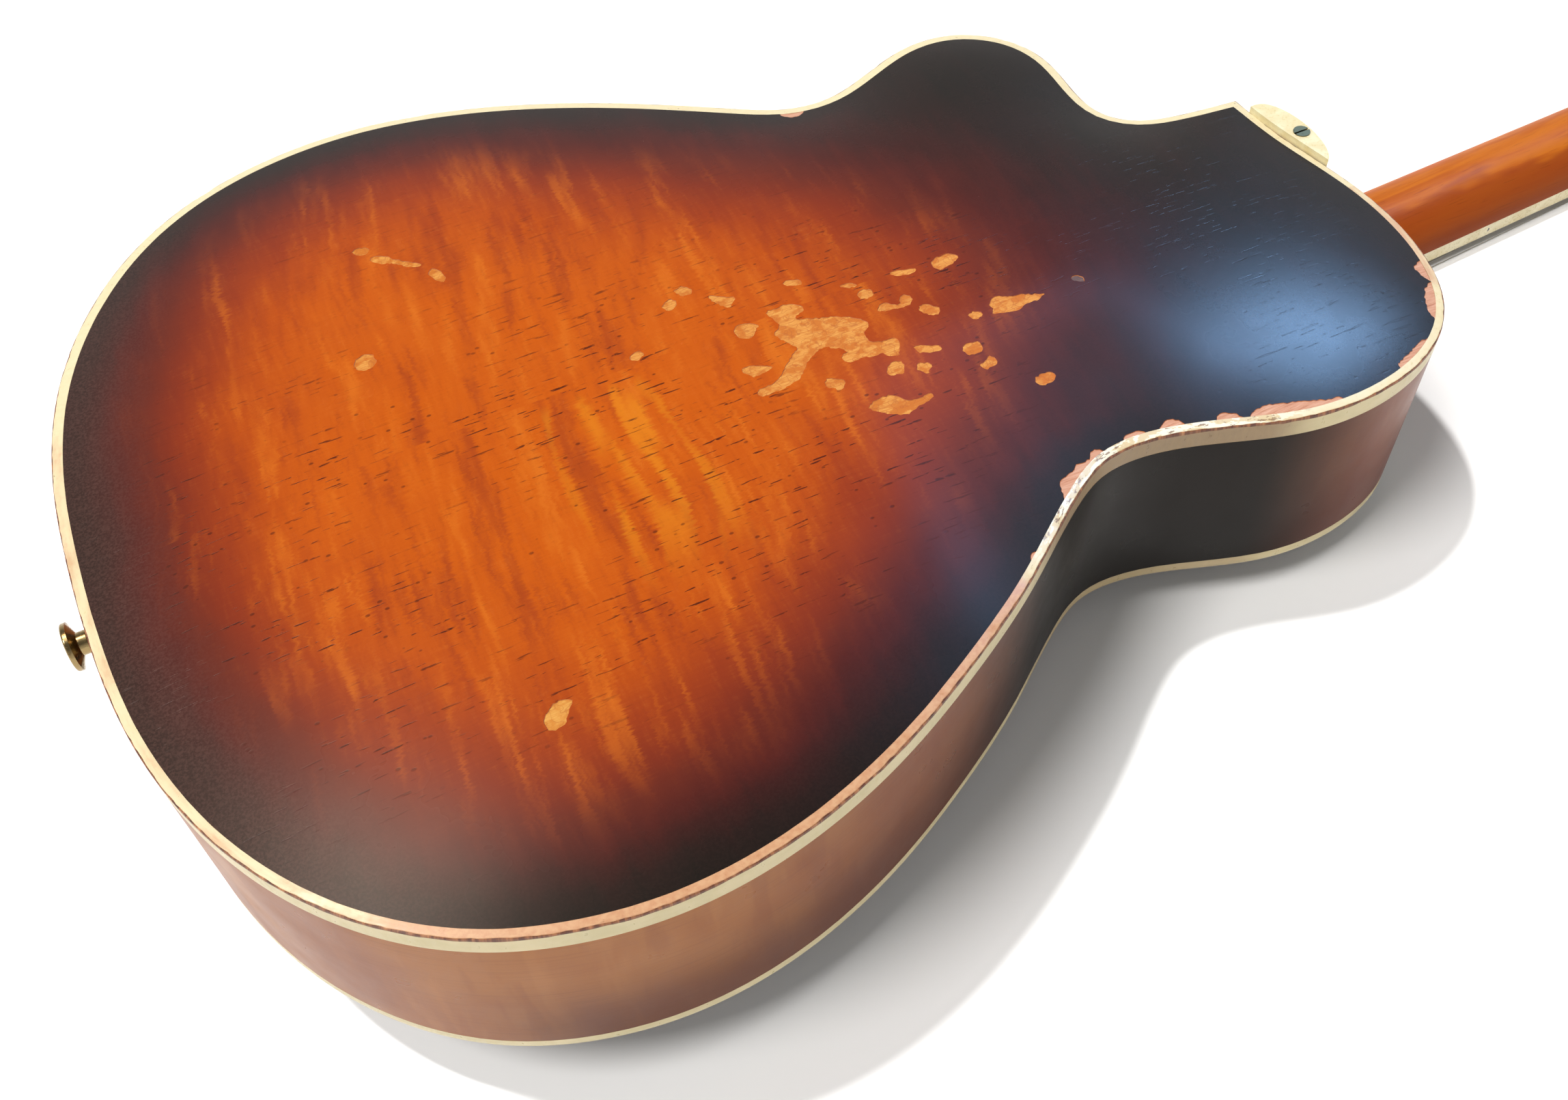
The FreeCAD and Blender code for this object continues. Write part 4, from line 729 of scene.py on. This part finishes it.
# ------------------------------------------------------------------ bindings
def binding_material(name, back_side=True):
    m = Mat(name, rough=0.34, spec=0.5)
    a = m.attr("along")
    c = m.attr("across")
    worn = m.attr("worn")
    grime = m.attr("grime")
    cream = rgb(226, 208, 160)
    pale = rgb(244, 232, 194)
    tan = rgb(206, 152, 112)
    blot = m.noise(m.vec(m.mul(a, 0.045), m.mul(c, 0.8), 0.0), 1.0, 4.0, 0.6)
    fine = m.noise(m.vec(m.mul(a, 0.55), m.mul(c, 1.6), 3.0), 1.0, 3.0, 0.6)
    w = m.add(worn, m.mul(m.math("SUBTRACT", blot, 0.5), 0.5))
    w = m.add(w, m.mul(m.math("SUBTRACT", fine, 0.5), 0.25))
    top = m.mix(m.step(w, 0.35, 0.62), m.mix(fine, cream, pale), m.mix(m.step(fine, 0.35, 0.65), tan, rgb(216, 168, 126)))
    side = m.mix(m.step(blot, 0.35, 0.65), rgb(212, 196, 146), rgb(224, 206, 158))
    flecks = m.step(m.noise(m.vec(m.mul(a, 0.33), m.mul(c, 2.2), 7.0), 1.0, 3.0, 0.7), 0.68, 0.74)
    top = m.mix(m.mul(flecks, 0.65), top, rgb(146, 104, 66))
    scrape = m.step(m.noise(m.vec(m.mul(a, 0.115), m.mul(c, 0.9), 13.0), 1.0, 4.0, 0.62), 0.49, 0.52)
    top = m.mix(m.mul(grime, 0.5), top, rgb(214, 184, 136))
    top = m.mix(m.mul(grime, m.mul(scrape, 0.90)), top, rgb(255, 250, 226))
    dirt = m.step(m.noise(m.vec(m.mul(a, 0.17), m.mul(c, 1.1), 17.0), 1.0, 4.0, 0.68), 0.575, 0.61)
    top = m.mix(m.mul(grime, m.mul(dirt, 0.85)), top, rgb(132, 94, 58))
    # the side stripe along the waist is darker: partly dirt, partly painted shade
    side = m.mix(m.mul(grime, 0.9), side, m.mix(fine, rgb(128, 98, 64), rgb(168, 136, 94)))
    col = m.mix(m.step(c, 0.98, 1.02), top, side)
    m.color(col)
    m.rough(m.line(fine, 0.3, 0.7, 0.26, 0.46))
    m.bump(fine, 0.05, 0.5)
    return m.m


def stain_material():
    m = Mat("binding_crack", rough=0.5)
    a = m.attr("along")
    f = m.noise(m.vec(m.mul(a, 0.30), 0.0, 0.0), 1.0, 4.0, 0.65)
    m.color(m.ramp(f, [(0.28, rgb(60, 28, 18)), (0.46, rgb(104, 56, 32)), (0.60, rgb(176, 116, 74)), (0.75, rgb(222, 176, 122))]))
    return m.m


mat_bind = binding_material("binding_celluloid")
mat_crack = stain_material()


def build_binding(name, top_side):
    n = N_RIM
    s = np.linspace(0, RIM_LEN, n, endpoint=False)
    r = np.random.default_rng(11 if top_side else 12)

    def wav(scale, seed):
        q = np.random.default_rng(seed)
        out = np.zeros(n)
        for k in range(1, 9):
            out += q.normal() / k ** 0.6 * np.sin(2 * np.pi * (round(scale * k)) * np.arange(n) / n + q.uniform(0, 6.28))
        return out / 2.2
    rough_edge = wav(30, 3)
    groove = np.clip(0.42 + 0.22 * wav(55, 5), 0.12, 0.95)
    nick = np.zeros(n)
    for c0 in ([0.083, 0.131, 0.27, 0.333, 0.402, 0.463, 0.58, 0.643, 0.705, 0.742, 0.759, 0.777, 0.80, 0.84, 0.9] if not top_side else [0.2, 0.5, 0.77]):
        i0 = int(c0 * n)
        wd = r.integers(1, 5)
        for k in range(-wd, wd + 1):
            nick[(i0 + k) % n] = max(nick[(i0 + k) % n], r.uniform(0.12, 0.42))
    if not top_side:
        edge_in = PLATE_EDGE
        z_in = 70.0 + arch(edge_in, 7.0)
        drop = nick * 0.6
        prof = [  # inset, z, across, material of the strip that follows
            (np.full(n, 0.0), np.full(n, 70.0 - BIND_BACK), 2.0, 0),
            (np.full(n, 0.0), np.full(n, 66.0), 1.6, 0),
            (np.full(n, 0.0), 68.95 + 0.25 * rough_edge.clip(-1, 1) - drop, 1.2, 1),
            (0.10 + 0 * groove, 69.70 - drop, 1.0, 1),
            (groove, 69.86 - drop, 0.9, 0),
            (groove + 0.12, 70.0 - drop * 0.8, 0.85, 0),
            (EDGE_IN * 0.57, 70.0 + (z_in - 70.0) * 0.5 - drop * 0.3, 0.4, 0),
            (EDGE_IN + 0.05 * rough_edge, z_in - 0.02, 0.0, 0),
            (EDGE_IN, np.full(n, 66.5), 2.5, 0),
            (np.full(n, 2.5), np.full(n, 70.0 - BIND_BACK), 2.5, 0),
        ]
    else:
        edge_in = PLATE_EDGE
        z_in = -arch(edge_in, 6.0)
        drop = -nick * 0.4
        prof = [
            (np.full(n, 2.5), np.full(n, BIND_FRONT), 2.5, 0),
            (EDGE_IN, np.full(n, 3.5), 2.5, 0),
            (EDGE_IN, z_in, 0.0, 0),
            (np.full(n, 2.0), z_in * 0.5 - drop * 0.3, 0.4, 0),
            (np.full(n, 0.5), 0.0 - drop * 0.6, 0.9, 0),
            (np.full(n, 0.15), 0.18 - drop, 1.0, 0),
            (np.full(n, 0.0), 0.55 - drop, 1.2, 0),
            (np.full(n, 0.0), np.full(n, 2.2), 1.6, 0),
            (np.full(n, 0.0), np.full(n, BIND_FRONT), 2.0, 0),
        ]
    k = len(prof)
    pts = np.zeros((k, n, 3))
    for j, (d, z, _, _) in enumerate(prof):
        pts[j, :, :2] = inset(d)
        pts[j, :, 2] = z
    verts = pts.reshape(-1, 3)
    F, FM = [], []
    for j in range(k):
        j2 = (j + 1) % k
        for i in range(n):
            i2 = (i + 1) % n
            # the rim runs counter-clockwise seen from the back; the profile climbs the outside, so this winding faces out
            F.append((j * n + i, j * n + i2, j2 * n + i2, j2 * n + i))
            FM.append(prof[j][3])
    o = mesh_object(name, Wn(verts), F, [mat_bind, mat_crack], FM)
    along = np.tile(s, k)
    across = np.repeat([p[2] for p in prof], n)
    # tan where the lacquer edge and dirt have coloured the celluloid, pale where it is scraped clean
    xr, yr = RIM[:, 0], RIM[:, 1]
    worn = smooth(-yr, 96, 118) * (1 - smooth(xr, 222, 256)) * (xr < 300)
    left = (xr < 110) * (yr < 62)
    worn = np.maximum(worn * (0.45 + 0.55 * smooth(xr, 34, 84)), 0.42 * left)
    worn = np.maximum(worn, 0.52 * smooth(xr, 408, 420) * (yr < -30) * (yr > -92))
    # the waist on the near side: dirt and scrapes on the top of the binding, and painted shade on its side stripe
    grime = smooth(xr, 236, 262) * (1 - smooth(xr, 332, 352)) * (yr < 0)
    if top_side:
        worn = worn * 0.0 + 0.1
        grime = grime * 0.6
    worn = np.tile(worn, k)
    for nm, arr in (("along", along), ("across", across), ("worn", worn), ("grime", np.tile(grime, k))):
        a = o.data.attributes.new(nm, "FLOAT", "POINT")
        a.data.foreach_set("value", arr.astype(np.float32))
    sharpen(o, 35.0, True)
    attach(o, "instrument")
    return o


back_bind = build_binding("back_binding_visual", False)
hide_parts("back_binding")
top_bind = build_binding("top_binding_visual", True)
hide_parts("top_binding")


# ------------------------------------------------------------------ materials for the CAD nodes
def assign(mat, *names):
    for n in names:
        o = NODES[n]
        if not o.material_slots:
            o.data.materials.append(mat)
        for s in o.material_slots:
            s.material = mat


def rib_material():
    m = Mat("rib_lacquer", rough=0.32, spec=0.11)
    x, y, z = m.xyz()
    # the rib at the waist is painted nearly black: painted shade
    dark = m.mul(m.step(x, 192.0, 258.0), m.step(x, 388.0, 334.0))
    figure = m.noise(m.scaled(0.10, 0.06, 0.016), 1.0, 3.0, 0.55)
    broad = m.noise(m.scaled(0.022, 0.022, 0.02), 1.0, 2.0, 0.5)
    grain = m.noise(m.scaled(0.03, 0.03, 1.6), 1.0, 3.0, 0.7)
    base = m.mix(m.step(broad, 0.35, 0.65), rgb(170, 108, 56), rgb(152, 88, 44))
    base = m.mix(m.step(figure, 0.46, 0.34, 0.0, 0.26), base, rgb(128, 64, 32))
    base = m.mix(m.step(figure, 0.56, 0.68, 0.0, 0.35), base, rgb(184, 122, 68))
    base = m.mix(m.step(grain, 0.5, 0.7, 0.0, 0.22), base, rgb(104, 52, 30))
    # darker red-brown towards the waist: partly the rib's own tone, partly painted shade as the rib turns from the
    # light
    far = m.step(x, 120.0, 205.0)
    base = m.mix(m.mul(far, 0.55), base, rgb(110, 52, 30))
    # the lower part of the rib, towards the front edge near the floor, is darker: painted shade
    base = m.mix(m.mul(m.mul(m.step(z, 50.0, 8.0), m.step(x, 48.0, 92.0)), 0.78), base, rgb(84, 34, 14))
    base = m.mix(m.mul(m.step(x, 340.0, 372.0), 0.35), base, rgb(120, 58, 44))
    # painted shade: the waist rib made nearly black
    base = m.mix(m.mul(dark, 0.98), base, rgb(13, 11, 6))
    m.color(base)
    m.rough(m.line(m.noise(m.scaled(0.06, 0.06, 0.06), 1.0, 3.0), 0.3, 0.7, 0.27, 0.36))
    m.bump(m.noise(m.scaled(0.35, 0.35, 0.35), 1.0, 2.0), 0.05, 0.30)
    return m.m


def neck_material():
    m = Mat("neck_lacquer", rough=0.42, spec=0.07)
    x, y, z = m.xyz()
    g = m.noise(m.scaled(0.012, 0.16, 0.16), 1.0, 4.0, 0.6, 0.3)
    blur = m.noise(m.scaled(0.030, 0.09, 0.09), 1.0, 2.0, 0.55)
    pore = m.step(m.noise(m.scaled(0.045, 1.9, 1.9), 1.0, 2.0, 0.5), 0.62, 0.70)
    base = m.mix(m.step(g, 0.40, 0.62), rgb(178, 88, 16), rgb(196, 108, 22))
    yy = m.add(y, m.mul(m.math("SUBTRACT", blur, 0.5), 26.0))
    # painted shade: a darker band on the near (-y) side of the neck's rounded back
    base = m.mix(m.step(yy, -2.0, -9.0, 0.0, 0.85), base, rgb(150, 66, 22))
    # painted highlight: a lighter band towards the far (+y) edge of the neck
    base = m.mix(m.step(yy, 9.0, 15.0, 0.0, 0.55), base, rgb(196, 100, 50))
    base = m.mix(m.step(m.math("ABSOLUTE", y), 15.5, 18.5, 0.0, 0.6), base, rgb(128, 52, 22))
    xx = m.add(x, m.mul(m.math("SUBTRACT", blur, 0.5), 14.0))
    base = m.mix(m.step(xx, 447.0, 424.0, 0.0, 0.85), base, rgb(112, 38, 14))
    base = m.mix(m.step(xx, 752.0, 792.0, 0.0, 0.85), base, rgb(60, 26, 14))
    base = m.mix(m.mul(pore, 0.28), base, rgb(96, 38, 14))
    m.color(base)
    m.rough(m.line(blur, 0.3, 0.7, 0.38, 0.48))
    m.bump(m.noise(m.scaled(0.4, 0.4, 0.4), 1.0, 2.0), 0.04, 0.3)
    return m.m


def grained(name, light, mid, dark, sx, sy, sz, rough=0.4, coat=0.0, pore=None, bump=0.06, spec=0.5):
    m = Mat(name, rough=rough, coat=coat, spec=spec)
    g = m.noise(m.scaled(sx, sy, sz), 1.0, 4.0, 0.62, 0.3)
    fine = m.noise(m.scaled(sx * 4, sy * 5, sz * 5), 1.0, 2.0, 0.6)
    f = m.add(m.mul(g, 0.75), m.mul(fine, 0.25))
    c = m.ramp(f, [(0.28, dark), (0.48, mid), (0.70, light)])
    if pore:
        d = m.step(m.noise(m.scaled(sx * 2.2, sy * 12, sz * 12), 1.0, 2.0, 0.5), 0.62, 0.70)
        c = m.mix(m.mul(d, 0.7), c, pore)
        m.bump(m.math("SUBTRACT", f, d), bump, 0.6)
    else:
        m.bump(f, bump, 0.5)
    m.color(c)
    m.rough(m.line(fine, 0.3, 0.7, max(rough - 0.06, 0.05), rough + 0.08))
    return m.m


def metal(name, col, dull, rough=0.22, brush=(0.4, 0.4, 0.4), scale=1.0):
    m = Mat(name, rough=rough, metallic=1.0)
    f = m.noise(m.scaled(*brush), scale, 4.0, 0.65)
    spots = m.step(m.noise(m.scaled(0.5, 0.5, 0.5), 1.0, 3.0, 0.6), 0.56, 0.72)
    m.color(m.mix(m.mul(spots, 0.7), m.mix(f, col, tuple(list(np.array(col[:3]) * 0.88) + [1.0])), dull))
    m.rough(m.line(m.add(m.mul(f, 0.6), m.mul(spots, 0.5)), 0.2, 0.9, rough * 0.7, min(rough * 2.2, 0.7)))
    m.bump(f, 0.015, 0.4)
    return m.m


def plastic(name, c1, c2, rough=0.3, coat=0.3, vein=None, sc=0.12):
    m = Mat(name, rough=rough, coat=coat)
    f = m.noise(m.scaled(sc, sc, sc), 1.0, 4.0, 0.6, 0.6)
    c = m.mix(m.step(f, 0.32, 0.68), c1, c2)
    if vein:
        w = m.noise(m.scaled(sc * 2.2, sc * 2.2, sc * 2.2, loc=(4, 1, 2)), 1.0, 3.0, 0.6, 1.6)
        c = m.mix(m.step(m.math("ABSOLUTE", m.math("SUBTRACT", w, 0.5)), 0.05, 0.0, 0.0, 0.6), c, vein)
    m.color(c)
    s = m.noise(m.scaled(0.9, 0.9, 0.9), 1.0, 3.0, 0.6)
    m.rough(m.line(s, 0.3, 0.7, rough * 0.75, rough * 1.35))
    m.bump(s, 0.02, 0.35)
    return m.m


def button_material():
    """Pearl knob outside, nickel shaft and worm inside the knob's foot."""
    m = Mat("tuner_button", rough=0.2, coat=0.3)
    x, y, z = m.xyz()
    knob = m.step(m.math("ABSOLUTE", y), 35.36, 35.46)
    f = m.noise(m.scaled(0.22, 0.22, 0.22), 1.0, 4.0, 0.6, 0.6)
    pearl = m.mix(m.step(f, 0.32, 0.68), rgb(240, 232, 206), rgb(222, 206, 164))
    w = m.noise(m.scaled(0.48, 0.48, 0.48, loc=(4, 1, 2)), 1.0, 3.0, 0.6, 1.6)
    pearl = m.mix(m.step(m.math("ABSOLUTE", m.math("SUBTRACT", w, 0.5)), 0.05, 0.0, 0.0, 0.6), pearl, rgb(250, 246, 232))
    dull = m.step(m.noise(m.scaled(0.5, 0.5, 0.5), 1.0, 3.0, 0.6), 0.50, 0.70)
    nickel = m.mix(m.mul(dull, 0.7), rgb(214, 206, 186), rgb(150, 134, 100))
    m.color(m.mix(knob, nickel, pearl))
    m.put(m.b.inputs["Metallic"], m.line(knob, 0.0, 1.0, 1.0, 0.0))
    s = m.noise(m.scaled(0.9, 0.9, 0.9), 1.0, 3.0, 0.6)
    m.rough(m.add(m.line(s, 0.3, 0.7, 0.16, 0.27), m.mul(dull, 0.1)))
    m.bump(s, 0.02, 0.35)
    return m.m


def top_material():
    m = Mat("top_lacquer", rough=0.25, coat=0.5, coat_rough=0.1)
    x, y, z = m.xyz()
    lines = m.noise(m.scaled(0.006, 0.85, 0.1), 1.0, 2.0, 0.5)
    # distance from the middle of the lower bout decides the burst
    dx = m.math("DIVIDE", m.math("ABSOLUTE", m.math("SUBTRACT", x, 150.0)), 175.0)
    dy = m.math("DIVIDE", m.math("ABSOLUTE", y), 138.0)
    rr = m.math("SQRT", m.add(m.mul(dx, dx), m.mul(dy, dy)))
    c = m.ramp(rr, [(0.25, rgb(222, 138, 48)), (0.60, rgb(186, 84, 30)), (0.82, rgb(104, 38, 24)), (1.0, rgb(34, 24, 20))])
    c = m.mix(m.step(lines, 0.46, 0.62, 0.0, 0.5), c, m.mix(0.55, c, rgb(70, 32, 16)))
    m.color(c)
    m.bump(lines, 0.03, 0.3)
    return m.m


mat_ribs = rib_material()
mat_neck = neck_material()
mat_rosewood = grained("rosewood", rgb(92, 56, 38), rgb(64, 38, 28), rgb(36, 22, 18), 0.02, 0.35, 0.35, rough=0.42, pore=rgb(22, 12, 10))
mat_ebony = grained("ebony", rgb(44, 38, 34), rgb(30, 26, 25), rgb(18, 16, 16), 0.05, 0.3, 0.3, rough=0.34)
mat_spruce = grained("bare_spruce", rgb(226, 196, 142), rgb(210, 176, 122), rgb(176, 138, 88), 0.01, 0.55, 0.55, rough=0.6, spec=0.3)
mat_mahog = grained("bare_mahogany", rgb(176, 112, 72), rgb(150, 88, 54), rgb(112, 62, 38), 0.03, 0.3, 0.3, rough=0.6, pore=rgb(84, 44, 26), spec=0.3)
mat_nickel = metal("aged_nickel", rgb(214, 206, 186), rgb(150, 134, 100), rough=0.2)
mat_steel = metal("bright_steel", rgb(200, 200, 200), rgb(128, 122, 114), rough=0.28, brush=(0.2, 1.5, 1.5))
mat_wire = metal("fret_wire", rgb(206, 202, 190), rgb(156, 146, 120), rough=0.22, brush=(2.0, 0.1, 2.0))
mat_brass = metal("brass", rgb(214, 176, 96), rgb(150, 110, 52), rough=0.26)
mat_string = metal("string_wire", rgb(208, 200, 184), rgb(160, 130, 88), rough=0.3, brush=(3.0, 0.4, 0.4))
mat_cap = plastic("cap_celluloid", rgb(244, 234, 190), rgb(232, 214, 158), rough=0.3)
mat_black = plastic("black_plastic", rgb(26, 25, 25), rgb(38, 36, 36), rough=0.22)
mat_bone = plastic("bone", rgb(236, 226, 198), rgb(220, 204, 166), rough=0.34, vein=rgb(190, 170, 130))
mat_pearl = plastic("pearl", rgb(240, 240, 234), rgb(206, 214, 214), rough=0.16, coat=0.6, vein=rgb(176, 190, 196), sc=0.5)
mat_button = button_material()
mf = Mat("felt", rough=0.95, sheen=0.4, spec=0.1)
ff = mf.noise(mf.scaled(3.0, 3.0, 3.0), 1.0, 4.0, 0.7)
mf.color(mf.mix(ff, rgb(20, 18, 18), rgb(58, 50, 48)))
mf.bump(ff, 0.12, 0.8)
mat_felt = mf.m

assign(mat_ribs, "ribs")
assign(top_material(), "top_plate")
assign(mat_neck, "neck")
assign(mat_rosewood, "fingerboard")
assign(plastic("board_binding", rgb(240, 228, 186), rgb(224, 206, 154), rough=0.3), "fingerboard_binding")
assign(mat_wire, "frets")
assign(mat_pearl, "fret_markers")
assign(mat_black, "side_dots", "head_veneer", "truss_rod_cover")
assign(mat_bone, "nut")
assign(mat_mahog, "back_lining", "top_lining", "neck_block", "tail_block", "fingerboard_support")
assign(mat_spruce, "back_braces", "tone_bars")
assign(metal("dark_screw", rgb(112, 104, 78), rgb(58, 50, 34), rough=0.5), "heel_cap_screw")
assign(mat_steel, "truss_rod", "strap_button_screw", "tailpiece_hinge_pin", "truss_cover_screws", "tuner_plate_screws")
assign(mat_cap, "heel_cap")
assign(metal("worn_gilt", rgb(176, 152, 106), rgb(96, 70, 44), rough=0.24), "strap_button")
assign(mat_nickel, "tailpiece_bracket", "tailpiece_screws", "tailpiece", "tuner_bushings", "tuner_plate_bass", "tuner_plate_treble")
assign(mat_felt, "strap_button_felt")
assign(mat_ebony, "bridge_foot", "bridge_saddle")
assign(mat_brass, "bridge_studs", "bridge_thumbwheels")
for c in range(1, 5):
    assign(mat_string, "strings_course_%d" % c)
for k in range(1, 9):
    assign(mat_nickel, "tuner_post_%d" % k)
    assign(mat_button, "tuner_button_%d" % k)
